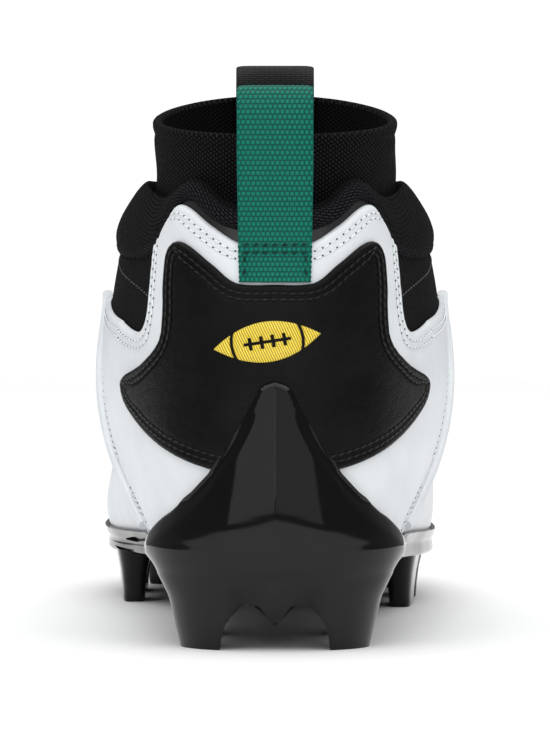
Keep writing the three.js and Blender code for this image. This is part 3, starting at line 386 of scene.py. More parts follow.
def polyline_distance(points, line):
    best = np.full(points.shape[:-1], 1e9)
    for a, b in zip(line[:-1], line[1:]):
        way = b - a
        share = np.clip(((points - a) @ way) / max(way @ way, 1e-9), 0, 1)[..., None]
        best = np.minimum(best, np.linalg.norm(points - a - share * way, axis=-1))
    return best


def on_surface(field, points):
    """A distance seen in one view, as the distance along the surface itself."""
    pu, pv = np.gradient(points, axis=0), np.gradient(points, axis=1)
    fu, fv = np.gradient(field)
    e, f, g = (pu * pu).sum(-1), (pu * pv).sum(-1), (pv * pv).sum(-1)
    slope = (g * fu**2 - 2 * f * fu * fv + e * fv**2) / np.maximum(e * g - f * f, 1e-9)
    return field / np.sqrt(np.clip(slope, 0.03, 1.2))


def soft_max(a, b, radius):
    mix = np.clip(0.5 + 0.5 * (a - b) / radius, 0, 1)
    return lerp(b, a, mix) + radius * mix * (1 - mix)


def crossings(field):
    """Ids and grid places of the points where a field crosses zero between neighbours of a grid."""
    n, m = field.shape
    inside = field < 0
    spots = []
    flat = np.full((n - 1, m), -1)
    tall = np.full((n, m - 1), -1)
    for ids, di, dj in ((flat, 1, 0), (tall, 0, 1)):
        a, b = field[:n - di, :m - dj], field[di:, dj:]
        where = np.argwhere(inside[:n - di, :m - dj] != inside[di:, dj:])
        for i, j in where:
            share = float(np.clip(a[i, j] / (a[i, j] - b[i, j]), 0.03, 0.97))
            ids[i, j] = len(spots)
            spots.append((i + share * di, j + share * dj))
    return inside, flat, tall, np.array(spots).reshape(-1, 2)


def clip(field):
    """The cells of a grid where a field is negative: corners' grid places, faces, the cut's edges."""
    n, m = field.shape
    inside, flat, tall, spots = crossings(field)
    ids = np.full((n, m), -1)
    kept = np.argwhere(inside)
    ids[inside] = np.arange(len(kept))
    base = len(kept)
    corner_count = inside[:-1, :-1].astype(int) + inside[1:, :-1] + inside[1:, 1:] + inside[:-1, 1:]
    faces = []
    for i, j in np.argwhere(corner_count > 0):
        around = [(i, j), (i + 1, j), (i + 1, j + 1), (i, j + 1)]
        if corner_count[i, j] == 4:
            faces.append([ids[c] for c in around])
            continue
        sides = [flat[i, j], tall[i + 1, j], flat[i, j + 1], tall[i, j]]
        face = []
        for corner, side in zip(around, sides):
            if inside[corner]:
                face.append(ids[corner])
            if side >= 0:
                face.append(base + side)
        faces.append(face)
    used = dict.fromkeys((a, b) for face in faces for a, b in zip(face, face[1:] + face[:1]))
    edges = [(a, b) for a, b in used if (b, a) not in used]
    places = np.concatenate([kept.astype(float), spots]) if len(spots) else kept.astype(float)
    return places, faces, edges, base


def at_places(values, places):
    """Values of a grid between its nodes."""
    n, m = values.shape[:2]
    i = np.clip(places[:, 0].astype(int), 0, n - 2)
    j = np.clip(places[:, 1].astype(int), 0, m - 2)
    s, t = places[:, 0] - i, places[:, 1] - j
    return (values[i, j] * (1 - s) * (1 - t) + values[i + 1, j] * s * (1 - t)
            + values[i, j + 1] * (1 - s) * t + values[i + 1, j + 1] * s * t)


def contour(field, level):
    """The longest lines where a field has a level, as grid places."""
    _, flat, tall, spots = crossings(field - level)
    n, m = field.shape
    links = {}
    for i in range(n - 1):
        for j in range(m - 1):
            found = [k for k in (flat[i, j], tall[i + 1, j], flat[i, j + 1], tall[i, j]) if k >= 0]
            for a, b in zip(found[::2], found[1::2]):
                links.setdefault(a, []).append(b)
                links.setdefault(b, []).append(a)
    lines, left = [], set(links)
    while left:
        start = next((k for k in left if len(links[k]) == 1), None)
        start = min(left) if start is None else start
        line = [start]
        left.discard(start)
        while True:
            onward = [k for k in links[line[-1]] if k in left]
            if not onward:
                break
            line.append(onward[0])
            left.discard(onward[0])
        lines.append(spots[line])
    return sorted(lines, key=len, reverse=True)


def add_slab(piece, u, v, depth, outer, inner):
    """A sheet of real thickness where depth, the way in from its edge, is above zero on the grid u, v."""
    places, faces, edges, base = clip(-depth)
    pu, pv, pd = (at_places(values, places) for values in (u, v, depth))
    pd[base:] = 0
    start, count = piece.count, len(places)
    piece.add(outer(pu, pv, np.maximum(pd, 0)), faces, 0, np.stack([pu, pv], -1))
    piece.add(inner(pu, pv), [face[::-1] for face in faces])
    piece.faces += [[b + start, a + start, a + start + count, b + start + count] for a, b in edges]
    piece.kinds += [0] * len(edges)


# ---- Materials ----
def srgb(*levels):
    """A colour given as it shows on a screen."""
    shares = (level / 255 for level in levels)
    return [*(c / 12.92 if c <= 0.04045 else ((c + 0.055) / 1.055) ** 2.4 for c in shares), 1]


CLEAR_OF_JOINTS = 540.0  # a whole number of yarns, so that no joint of a long yarn falls on a piece


class Look:
    """A principled material, with methods that add to its nodes."""

    def __init__(self, name, color, roughness, **sockets):
        self.material = bpy.data.materials.new(name)
        self.material.use_nodes = True
        self.shader = self.material.node_tree.nodes["Principled BSDF"]
        self.set(self.shader, Base_Color=color, Roughness=roughness, **sockets)

    def set(self, node, *values, **named):
        """Sets a node's inputs, in order or by name, to values or to other nodes' outputs."""
        pairs = list(zip(node.inputs, values))
        pairs += [(node.inputs[key.replace("_", " ")], value) for key, value in named.items()]
        for socket, value in pairs:
            if isinstance(value, bpy.types.NodeSocket):
                self.material.node_tree.links.new(value, socket)
            else:
                socket.default_value = value

    def node(self, kind, *values, **named):
        node = self.material.node_tree.nodes.new("ShaderNode" + kind)
        self.set(node, *values, **named)
        return node

    def noise(self, size, detail=3):
        """Noise of a grain size in millimetres."""
        place = self.node("TexCoord").outputs["Object"]
        return self.node("TexNoise", Vector=place, Scale=1 / (size * MM), Detail=detail).outputs["Fac"]

    def math(self, operation, a, b):
        node = self.node("Math", a, b)
        node.operation = operation
        return node.outputs[0]

    def grain(self, size):
        """Leather's pebbles, about size millimetres wide."""
        cells = self.node("TexVoronoi", Vector=self.node("TexCoord").outputs["Object"])
        cells.feature = "DISTANCE_TO_EDGE"
        self.set(cells, Scale=1 / (size * MM))
        return self.math("MINIMUM", cells.outputs["Distance"], 0.35)

    def weave(self, wide, tall, turn=0.0, gap=0.12, offset=0.5):
        """Rounded yarns in a brick bond over a UV map in millimetres: 1 on a yarn, 0 between."""
        place = self.node("Mapping", Vector=self.node("TexCoord").outputs["UV"], Rotation=(0, 0, turn),
                          Location=(CLEAR_OF_JOINTS, 0, 0)).outputs[0]
        brick = self.node("TexBrick", Vector=place, Scale=1, Brick_Width=wide, Row_Height=tall,
                          Mortar_Size=gap, Mortar_Smooth=1)
        brick.offset = offset
        return self.math("SUBTRACT", 1.0, brick.outputs["Fac"])

    def bump(self, height, way):
        """Bump of a real depth, way, in millimetres, over whatever bump is there already."""
        node = self.node("Bump", Distance=way * MM, Strength=1.0, Height=height)
        normal = self.shader.inputs["Normal"]
        if normal.is_linked:
            self.set(node, Normal=normal.links[0].from_socket)
        self.set(self.shader, Normal=node.outputs[0])

    def color_by(self, factor, dark, light, low=0.3, high=0.7):
        ramp = self.node("ValToRGB", factor)
        for element, place, color in zip(ramp.color_ramp.elements, (low, high), (dark, light)):
            element.position, element.color = place, color
        self.set(self.shader, Base_Color=ramp.outputs[0])

    def rough_by(self, factor, low, high):
        self.set(self.shader, Roughness=self.node("MapRange", factor, To_Min=low, To_Max=high).outputs[0])


def leather(name, dark, light, roughness, pebble, depth, coat=0.0, gloss=0.5):
    look = Look(name, light, roughness, Coat_Weight=coat, Coat_Roughness=0.25, Specular_IOR_Level=gloss)
    look.color_by(look.noise(14), dark, light, 0.35, 0.65)
    look.rough_by(look.noise(5), roughness - 0.06, roughness + 0.08)
    look.bump(look.grain(pebble), depth)
    look.bump(look.noise(3.0), depth * 1.6)
    return look.material


def knit(name, dark, light, wide, tall, turn=0.0, depth=0.35, roughness=0.9, gap=0.2, gloss=0.06):
    look = Look(name, light, roughness, Specular_IOR_Level=gloss)
    yarn = look.weave(wide, tall, turn, gap)
    look.color_by(yarn, dark, light, 0.1, 0.9)
    look.bump(yarn, depth)
    look.bump(look.noise(0.5), 0.12)
    return look.material


WHITE_LEATHER = leather("white_leather", srgb(222, 226, 230), srgb(229, 233, 236), 0.42, 1.1, 0.03, 0.1)
BLACK_LEATHER = leather("black_leather", srgb(5, 5, 6), srgb(13, 13, 14), 0.4, 0.8, 0.16, gloss=0.11)
FACING = leather("black_facing", srgb(30, 30, 32), srgb(44, 44, 46), 0.28, 2.2, 0.02, gloss=0.5)
SOCK_KNIT = knit("sock_knit", srgb(0, 0, 0), srgb(31, 31, 33), 1.3, 1.05, 0.6, 0.45, gap=0.3)
SOCK_LINING = knit("sock_lining", srgb(0, 0, 0), srgb(22, 22, 24), 1.3, 1.05, -0.6, 0.3, gap=0.3)
PAD_KNIT = knit("pad_knit", srgb(0, 0, 0), srgb(30, 30, 32), 1.6, 1.1, 0.5, 0.5, gap=0.3)
ROLL_KNIT = knit("roll_knit", srgb(1, 1, 2), srgb(40, 40, 43), 1.7, 0.85, 1.15, 0.4, gap=0.32)
TONGUE_KNIT = knit("tongue_knit", srgb(1, 1, 2), srgb(28, 28, 30), 1.6, 1.0, 0.0, 0.35, gap=0.25)
ANKLE_KNIT = knit("ankle_knit", srgb(0, 0, 0), srgb(30, 30, 32), 1.5, 1.2, 0.5, 0.4, gap=0.3)
LINING = knit("lining", srgb(4, 4, 5), srgb(20, 20, 22), 1.1, 1.1, 0.78, 0.2)
LACE_WEAVE = knit("lace_weave", srgb(2, 2, 3), srgb(34, 34, 36), 1.0, 0.9, 0.7, 0.3)
BLACK_TAPE = knit("black_tape", srgb(3, 3, 4), srgb(24, 24, 26), 3.0, 0.55, 0.0, 0.18, 0.55, gloss=0.2)
YARN_WIDE = 1.35  # of the green webbing
YARN_TALL = 1.42
GREEN_TAPE = knit(
    "green_tape", srgb(0, 74, 62), srgb(2, 120, 102), YARN_WIDE, YARN_TALL, 0.0, 0.1, 0.5, 0.5, gloss=0.16)
INSOLE_CLOTH = knit("insole_cloth", srgb(4, 4, 5), srgb(24, 24, 26), 1.2, 1.2, 0.78, 0.25)


def plastic():
    look = Look("black_gloss", srgb(9, 9, 10), 0.1, IOR=1.34, Coat_Weight=0.06, Coat_Roughness=0.04)
    look.color_by(look.noise(30), srgb(5, 5, 6), srgb(9, 9, 10))
    look.rough_by(look.noise(9), 0.05, 0.12)
    look.bump(look.noise(20, 1), 0.22)
    return look.material


def thread(name, dark, light, roughness=0.55, gloss=0.5):
    look = Look(name, light, roughness, Specular_IOR_Level=gloss)
    look.color_by(look.noise(0.8), dark, light)
    look.bump(look.noise(0.25), 0.08)
    return look.material


GLOSS_BLACK = plastic()
WHITE_THREAD = thread("white_thread", srgb(222, 226, 230), srgb(247, 249, 250))
BLACK_THREAD = thread("black_thread", srgb(4, 4, 5), srgb(25, 25, 28), 0.4, 0.35)
GREY_THREAD = thread("grey_thread", srgb(46, 46, 49), srgb(80, 80, 84))
GREEN_THREAD = thread("green_thread", srgb(0, 30, 25), srgb(0, 66, 55), 0.5, 0.2)
# Painted shade: grey-green beads that stand in for the shade inside the white quarter's needle holes.
NEEDLE_HOLE_SHADE = thread("needle_hole_painted_shade", srgb(30, 44, 44), srgb(62, 84, 84), 0.9)
# Near-black beads for holes. In the needle holes they are painted shade. In the eyelets and pinholes they are
# the dark tongue and lining behind the hole, together with painted shade inside it.
DARK_HOLE_SHADE = thread("dark_hole_painted_shade", srgb(3, 3, 3), srgb(8, 8, 8), 0.9)


def satin_gold():
    look = Look("gold_thread", srgb(246, 218, 72), 0.36)
    threads = look.weave(400, 0.62, 0.25, 0.14, 0.0)
    look.color_by(threads, srgb(168, 130, 10), srgb(246, 218, 72), 0.1, 0.8)
    look.bump(threads, 0.3)
    return look.material


GOLD = satin_gold()


# ---- Upper: one hollow wall, white in front and black round the ankle ----
# y: share of LENGTH; lean: forward for each mm up; width and depth in mm; top: height where it fades out
FLEX_CREASES = [
    (0.655, 0.3, 2.6, 0.35, 90), (0.69, 0.25, 3.0, 0.45, 90), (0.725, 0.2, 2.4, 0.3, 90),
    (0.30, 0.5, 3.2, 0.3, 112), (0.385, 0.35, 3.6, 0.35, 112),
]
ANKLE_SEAM = [(0.0, 0.42), (0.2, 0.45), (0.33, 0.42), (0.4, 0.6), (0.43, 0.9), (0.46, 1.1)]  # (y, z)
FACING_REACH = 2.2  # stations from the heel to the end of the leather strip under the collar
UPPER_STEPS = 16  # columns of the upper's grid for each station
UPPER_ROWS = 60


def creases(points):
    """Soft troughs at the forefoot's bend and the ankle cloth's folds, as a way in from the plain surface."""
    depth = np.zeros(points.shape[:-1])
    for y, lean, width, deep, top in FLEX_CREASES:
        middle = along(y) + lean * (points[..., 2] - SEAT)
        fade = soft_step((points[..., 2] - SEAT - 6) / 14) * soft_step((top - points[..., 2]) / 14 + 0.6)
        depth += deep * np.exp(-(((points[..., 1] - middle) / width) ** 2)) * fade
    return depth


def side_rows(rows):
    return [(along(y), upward(z)) for y, z in rows]


def ankle_side(points):
    """Negative behind the seam where the black ankle meets the white forefoot."""
    behind, over = across(-3), upward(1.5)
    return outline_distance(points[..., 1:], smooth_outline([
        (behind, upward(0.42), True), *side_rows(ANKLE_SEAM), (along(0.47), over, True),
        (behind, over, True),
    ]))


def make_upper():
    piece = Piece("upper_shell", WHITE_LEATHER, FACING, LINING, ANKLE_KNIT)
    u, v = grid(np.arange(ROUND * UPPER_STEPS + 1) / UPPER_STEPS, np.linspace(0, 1, UPPER_ROWS))
    base = last_point(u, v)
    field = on_surface(ankle_side(base), base)

    def outer(pu, pv):
        p = last_point(pu, pv)
        return p - last_normal(pu, pv) * creases(p)[..., None]

    side_cloth = folded(u) - FACING_REACH
    for kind, side in ((0, -field), (1, np.maximum(field, side_cloth)), (3, np.maximum(field, -side_cloth))):
        places, faces, _, _ = clip(side)
        pu, pv = at_places(u, places), at_places(v, places)
        points = outer(pu, pv)
        piece.add(points, faces, kind, np.stack([points[:, 1], points[:, 2] * 1.05], -1))
    inner = skin(u, v, -WALL)
    piece.add_grid(inner, 2, flip=True)
    top, under = outer(u[:, -1], v[:, -1]), inner[:, -1]
    spots = np.stack([top, lerp(top, under, 0.5) + [0, 0, 0.5], under], 1)
    for low, high in ((0, VAMP), (ROUND - VAMP, ROUND)):
        piece.add_grid(spots[low * UPPER_STEPS:high * UPPER_STEPS + 1], 2)
    piece.add_grid(np.stack([inner[:, 0], outer(u[:, 0], v[:, 0])], 1), 2)
    piece.build(["upper"], merge=0.02)


make_upper()

# ---- Quarter and heel panel ----
QUARTER_IN = CLEAR
QUARTER_OUT = QUARTER_IN + LEATHER
PANEL_IN = QUARTER_OUT + CLEAR
PANEL_OUT = PANEL_IN + LEATHER
REAR_REACH = 0.185  # share of LENGTH up to which the outline seen from behind holds
# Outlines seen from behind are (x, z), those seen from the side (y, z); True marks a corner.
QUARTER_TOP = [
    (0, 0.964), (0.2, 0.967), (0.37, 1.018), (0.492, 1.066), (0.565, 1.074), (0.642, 1.041), (0.69, 0.965),
    (0.715, 0.855), (0.736, 0.749), (0.774, 0.703), (0.837, 0.703), (0.923, 0.736),
]
QUARTER_SHOULDER = [(0.185, 0.724), (0.23, 0.741), (0.285, 0.766)]
QUARTER_LIP = [(0.334, 0.785), (0.35, 0.71), (0.336, 0.577), (0.292, 0.412), (0.23, 0.25), (0.172, 0.133)]
PANEL_OUTLINE = [
    (0, 0.849, True), (0.22, 0.853), (0.366, 0.907), (0.503, 0.96), (0.58, 0.968), (0.626, 0.931),
    (0.643, 0.847), (0.647, 0.743), (0.672, 0.674), (0.773, 0.608), (0.874, 0.568), (0.891, 0.528),
    (0.848, 0.469), (0.719, 0.397), (0.554, 0.346), (0.32, 0.31), (0, 0.293),
]
FAR = 400  # beyond the shoe
JOIN = 6  # past REAR_REACH the outline seen from behind fades out over this way
JOIN_SLOPE = 3
JOIN_RADIUS = 1.5  # of the bend where the two outlines meet


def rear_rows(rows):
    return [(across(row[0]), upward(row[1]), *row[2:]) for row in rows]


def mirror_rows(rows):
    return [(-row[0], *row[1:]) for row in reversed(rows)]


def quarter_field(points):
    """Negative on the quarter, whose edge is given from behind at the heel and from the side beyond."""
    top = rear_rows(QUARTER_TOP)
    edge = top[-1]
    above = smooth_outline([
        (-edge[0], edge[1], True), *mirror_rows(top[1:-1]), *top[:-1], (*edge, True),
        (FAR, edge[1], True), (FAR, FAR, True), (-FAR, FAR, True), (-FAR, edge[1], True),
    ])
    shoulder, lip = side_rows(QUARTER_SHOULDER), side_rows(QUARTER_LIP)
    ahead = smooth_outline([
        (*shoulder[0], True), *shoulder[1:], (*lip[0], True), *lip[1:-1], (*lip[-1], True),
        (lip[-1][0], 0, True), (FAR, 0, True), (FAR, FAR, True), (shoulder[0][0], FAR, True),
    ])
    rear = -outline_distance(points[..., [0, 2]], above)
    side = -outline_distance(points[..., 1:], ahead)
    past = np.maximum(points[..., 1] - along(REAR_REACH), 0)
    rear = np.where(past < JOIN, on_surface(rear, points) - JOIN_SLOPE * past, -50.0)
    return soft_max(rear, on_surface(side, points), JOIN_RADIUS)


EDGE_SHARE = 0.75  # how much of a leather sheet's thickness its rounded edge takes
GROOVE_WIDE = 0.65


def rounded(pu, pv, out, depth, radius, groove):
    """Outer face of a leather sheet whose edge is rounded over."""
    fall = 1 - np.sqrt(1 - (1 - np.clip(depth / radius, 0, 1)) ** 2)
    return skin(pu, pv, out - EDGE_SHARE * LEATHER * fall - groove)


def stitch_groove(depth, places, deep=0.22):
    return sum(deep * np.exp(-(((depth - place) / GROOVE_WIDE) ** 2)) for place in places)


def add_leather(piece, u, v, field, low, radius, rows, deep=0.22):
    """A leather sheet, low off the last, where field is negative, with grooves under its rows of stitches."""
    def outer(pu, pv, depth):
        return rounded(pu, pv, low + LEATHER, depth, radius, stitch_groove(depth, rows, deep))

    add_slab(piece, u, v, -field, outer, lambda pu, pv: skin(pu, pv, low))


def sample_line(points, normals, pitch):
    """Spots at an even pitch along a line, with its direction and the surface's normal there."""
    way = lengths(points)
    count = max(int(way[-1] / pitch), 1)
    at = (np.arange(count) + 0.5) * way[-1] / count

    def look_up(values, at):
        return np.stack([np.interp(at, way, values[:, k]) for k in range(3)], 1)

    forward = unit(look_up(points, at + 0.4) - look_up(points, at - 0.4))
    return look_up(points, at), forward, unit(look_up(normals, at))


def add_beads(piece, p, t, n, long, thick, high, kind=0, slant=0.0, sides=6, rings=5):
    """One small rounded bead for each spot, long along t and high along n."""
    b = unit(np.cross(n, t))
    t, b = unit(t + b * slant), unit(b - t * slant)
    s = np.linspace(-0.94, 0.94, rings)
    turn = np.arange(sides) * 2 * math.pi / sides
    radius = np.sqrt(1 - s**2)
    shape = np.stack(np.broadcast_arrays(
        s[:, None] * long / 2, radius[:, None] * np.cos(turn) * thick / 2,
        radius[:, None] * np.sin(turn) * high / 2), -1).reshape(-1, 3)
    faces = []
    for r in range(0, (rings - 1) * sides, sides):
        for k in range(sides):
            onward = (k + 1) % sides
            faces.append([r + onward, r + sides + onward, r + sides + k, r + k])
    faces += [list(reversed(range(sides))), [(rings - 1) * sides + k for k in range(sides)]]
    for place, *axes in zip(p, t, b, n):
        way_t, way_b, way_n = (shape[:, k:k + 1] * axis for k, axis in enumerate(axes))
        piece.add(place + way_t + way_b + way_n, faces, kind)


STITCH = 2.5  # from one stitch to the next
STITCH_LONG = 1.95
STITCH_THICK = 0.62
STITCH_LIFT = 0.08
HOLE = 0.62  # width of a needle's hole
HOLE_SINK = 0.1
SHORTEST = 12  # contour points below which no row of stitches is sewn


def stitch_line(thread_piece, hole_shade_piece, points, normals, thick=STITCH_THICK):
    p, t, n = sample_line(points, normals, STITCH)
    add_beads(thread_piece, p + n * STITCH_LIFT, t, n, STITCH_LONG, thick, thick * 0.8, slant=0.12)
    # The beads between the stitches are painted shade: dark dots for the shade inside each needle hole.
    if hole_shade_piece is not None and len(p) > 1:
        between, m = (p[1:] + p[:-1]) / 2, unit(n[1:] + n[:-1])
        add_beads(hole_shade_piece, between - m * HOLE_SINK, unit(t[1:] + t[:-1]), m, HOLE, HOLE, 0.45, rings=3)


def stitched(field, u, v, levels, out, thread_piece, hole_shade_piece, keep=lambda p: p[:, 2] > 0):
    """Rows of stitches at given ways in from an edge."""
    for level in levels:
        for line in contour(field, -level):
            pu, pv = at_places(u, line), at_places(v, line)
            points, normals = skin(pu, pv, out), last_normal(pu, pv)
            good = keep(points)
            runs = np.split(np.arange(len(points)), np.flatnonzero(np.diff(good.astype(int))) + 1)
            for run in runs:
                if good[run[0]] and len(run) > SHORTEST:
                    stitch_line(thread_piece, hole_shade_piece, points[run], normals[run])


QUARTER_STITCHES = (2.6, 4.6)
PANEL_STITCHES = (2.5, 4.2)
QUARTER_ROUND = 1.3  # radius of the quarter's edge
PANEL_ROUND = 1.5
PANEL_GROOVE = 0.3
white_stitches = Piece("quarter_stitches", WHITE_THREAD)
# Needle-hole beads in painted shade, grey-green on the white quarter.
white_hole_shades = Piece("quarter_stitch_hole_shades", NEEDLE_HOLE_SHADE)
black_stitches = Piece("heel_panel_stitches", BLACK_THREAD)
# Needle-hole beads in painted shade on the black panel.
black_hole_shades = Piece("heel_panel_stitch_hole_shades", DARK_HOLE_SHADE)


def make_quarter():
    piece = Piece("quarter_leather", WHITE_LEATHER)
    u, v = grid(np.linspace(-6, 6, 12 * 26 + 1), np.linspace(0.02, 0.985, 110))
    field = quarter_field(skin(u, v, QUARTER_OUT))
    add_leather(piece, u, v, field, QUARTER_IN, QUARTER_ROUND, QUARTER_STITCHES)
    for side in (1, -1):
        add_lip(piece, side)
    piece.build(["quarter"])
    stitched(field, u, v, QUARTER_STITCHES, QUARTER_OUT, white_stitches, white_hole_shades,
             keep=lambda p: (p[:, 2] > upward(0.3)) | (p[:, 1] < along(0.2)))


def side_station(y, z, side):
    """The station on one side of the shoe where the last shows a point (y, z) from the side."""
    def turned(u):
        return u if side > 0 else ROUND - u

    return turned(bisect(lambda u: last_point(turned(u), v_at(turned(u), z))[1] < y, 1.5, 8.0, 24)[0])


def sweep(piece, middles, normals, half_wide, half_high, sides=12, kind=0, scale=1.0):
    """A rounded cord along a line, half_wide across and half_high off the surface."""
    middles = np.asarray(middles)
    forward = unit(np.gradient(middles, axis=0))
    level = unit(np.cross(forward, normals))
    raised = unit(np.cross(level, forward))
    turn = np.arange(sides) * 2 * math.pi / sides
    size = np.broadcast_to(scale, len(middles))[:, None, None]
    sideways = half_wide * np.cos(turn)[None, :, None] * level[:, None]
    ring = middles[:, None] + size * (sideways + half_high * np.sin(turn)[None, :, None] * raised[:, None])
    around = np.linspace(0, math.pi * (half_wide + half_high), sides + 1)
    piece.add_tube(ring, kind, spread(around[None, :], lengths(middles)[:, None]))


def add_lip(piece, side):
    """The raised lip along the quarter's front edge."""
    edge = spline(side_rows(QUARTER_LIP), 60)
    middles, normals = [], []
    for y, z in edge:
        u = side_station(y - LIP, z, side)
        v = v_at(u, z)
        middles.append(skin(u, v, QUARTER_OUT + LIP * 0.25))
        normals.append(last_normal(u, v))
    sweep(piece, middles, np.array(normals), LIP, LIP)


def make_panel():
    piece = Piece("heel_panel_leather", BLACK_LEATHER)
    u, v = grid(np.linspace(-4.5, 4.5, 9 * 28 + 1), np.linspace(0.2, 0.97, 120))
    base = skin(u, v, PANEL_OUT)
    rows = rear_rows(PANEL_OUTLINE)
    outline = smooth_outline([*rows, *mirror_rows(rows[1:-1])])
    field = on_surface(outline_distance(base[..., [0, 2]], outline), base)
    add_leather(piece, u, v, field, PANEL_IN, PANEL_ROUND, PANEL_STITCHES, PANEL_GROOVE)
    piece.build(["heel_panel"])
    stitched(field, u, v, PANEL_STITCHES, PANEL_OUT, black_stitches, black_hole_shades)


make_quarter()
make_panel()


# ---- Outsole ----
# Station, and height above the seat as a share of SPIKE
PLATE_TOP = np.array([
    [0, 1], [0.06, 0.998], [0.115, 0.993], [0.17, 0.984], [0.215, 0.972], [0.25, 0.96], [0.29, 0.938],
    [0.33, 0.904], [0.47, 0.826], [0.75, 0.682], [1.08, 0.538], [1.4, 0.441],
    [1.9, 0.33], [2.5, 0.237], [2.92, 0.178], [3.3, 0.142], [3.6, 0.125], [4.2, 0.095], [5, 0.075],
    [8, 0.065], [9.5, 0.07], [11, 0.09], [12, 0.12], [13, 0.14],
])
# Station, and height as a share of SEAT: the arches between the heel studs
HEEL_BOTTOM = np.array([
    [0, 0.365], [0.15, 0.46], [0.28, 0.565], [0.35, 0.615], [0.42, 0.64], [0.5, 0.645], [0.6, 0.615],
    [0.7, 0.54], [0.79, 0.45], [0.87, 0.345], [0.95, 0.2], [1.03, -0.02], [1.25, -0.02], [2.0, -0.02],
    [2.04, 0.815], [2.25, 0.815], [2.5, 0.82], [3.0, 0.825], [4.5, 0.83],
])
# level, ridge, edge, flank, width
HEEL_SKIN = np.array([
    [0, 0.98, 0.9, 0.3, 0.81], [0.34, 1.12, 0.93, 0.3, 0.85], [0.7, 1.14, 0.94, 0.3, 0.895],
    [0.85, 1.1, 0.93, 0.36, 0.94], [1.05, 1.0, 0.92, 0.76, 0.985], [1.13, 0.96, 0.89, 1, 0.995],
    [1.2, 0.9, 0.86, 0.97, 1], [1.3, 0.84, 0.83, 0.86, 1], [1.55, 0.53, 0.77, 0.78, 1],
    [1.82, 0.3, 0.8, 0.84, 1], [2, 0.12, 0.86, 0.86, 1],
])
HEEL_BLUR = 0.05  # over which HEEL_SKIN's bends are softened
WING = 3.3  # station where the heel block runs out
BLOCK_END = 4.5  # station where its grid ends, under the side wall
WALL_FROM = 4  # station where the side wall starts
NORMAL_TURN = 9  # height above the seat over which the skin's normal turns level
SIDE_PLATE_IN = QUARTER_OUT + CLEAR
HEEL_PLATE_IN = PANEL_OUT + CLEAR
EDGE_CHAMFER = 5.5  # width of the bevel along the heel spike's edge
EDGE_DROP = 1.5
RIDGE_BEAD = 0.05  # the fine rounded line along the spike's ridge
ARCH_FOLD = 6.5  # width of the faces folded in over the heel studs' arches
ARCH_DROP = 3.6
TIP_DOME = 5.5  # height of the spike's rounded tip
TIP_DROP = 0.7
BEAD_WIDE = 0.022  # in stations
PLATE_ROUND = 0.5  # the plate's edge is rounded in by this, over PLATE_ROUND_WIDE
PLATE_ROUND_WIDE = 0.9
BLOCK_HEIGHTS = np.linspace(-0.6, 76, 112)  # rows of the heel block's grid, past its foot and its tip
RIB_PITCH = 9  # of the fine ribs under the foot
RIB_HIGH = 0.5
RIB_WIDE = 1.1
RIB_LEAN = 0.35
SEAT_BLEND = 4.5  # below the seat the heel goes on in its lean and straightens over this way


def soft_look(table, column, value, blur):
    """A table's column by straight lines, its bends softened over a way."""
    return sum(np.interp(value + d * blur, table[:, 0], table[:, column]) for d in (-1, -0.5, 0, 0.5, 1)) / 5


def plate_top(u):
    return seat_at(u) + SPIKE * np.interp(folded(u), PLATE_TOP[:, 0], PLATE_TOP[:, 1])


def reach_at(z):
    """The station where the plate's top edge comes down to a height."""
    return bisect(lambda u: plate_top(u) > z, np.full(z.shape, 0.05), np.full(z.shape, WING))[0]


def skin_level(u, z, out):
    """The last carried straight down below the seat, pushed out; its normal turns level towards the seat."""
    u, z = np.broadcast_arrays(np.asarray(u, float), np.asarray(z, float))
    seat = seat_at(u)
    v = np.where(z > seat, v_at(u, z), 0)
    base, normal = last_point(u, v), last_normal(u, v)
    base[..., 2] = z
    flat = normal * [1, 1, 0]
    turn = soft_step((z - seat) / NORMAL_TURN)[..., None]
    return base + unit(lerp(unit(flat), normal, turn)) * np.broadcast_to(out, u.shape)[..., None]


def seat_lean(u, z):
    """How far the heel block's skin lies inside a plain drop below the seat, so that no crease shows."""
    lean = 0.4 * (1 - soft_step((folded(u) - 0.5) / 1.2))
    return lean * SEAT_BLEND * (1 - np.exp(-np.maximum(seat_at(u) - z, 0) / SEAT_BLEND))


def level_of(z):
    return np.where(z < SEAT, z / SEAT, 1 + (z - SEAT) / SPIKE)


def heel_out(u, z):
    tent = 1 - np.clip(folded(u) / reach_at(z), 0, 1)
    ridge, edge, flank = (soft_look(HEEL_SKIN, k, level_of(z), HEEL_BLUR) for k in (1, 2, 3))
    to_flank = soft_step((folded(u) - 1.8) / 0.9)
    run_out = np.clip((folded(u) - WING) / (BLOCK_END - WING), 0, 1)
    proud = SPIKE_EDGE * lerp(edge, flank, to_flank) + SPIKE_RIDGE * ridge * tent
    return lerp(proud, SIDE_PLATE_IN + PLATE_WALL * 0.6, run_out)


def heel_point(u, z, out):
    p = skin_level(u, z, out)
    p[..., 0] *= soft_look(HEEL_SKIN, 4, level_of(z), HEEL_BLUR)
    return p


def heel_gap(z):
    """How far off the last the heel block's inner face lies, over the quarter or over the panel too."""
    over_panel = np.clip((z - upward(PANEL_OUTLINE[-1][1])) / LEATHER / 2 + 3, 0, 1)
    return lerp(SIDE_PLATE_IN, HEEL_PLATE_IN, over_panel)


def side_gap(u):
    """The same for the side wall, which passes from the quarter to the bare upper."""
    return lerp(SIDE_PLATE_IN, CLEAR, np.clip((folded(u) - 4.4) / 1.2, 0, 1))


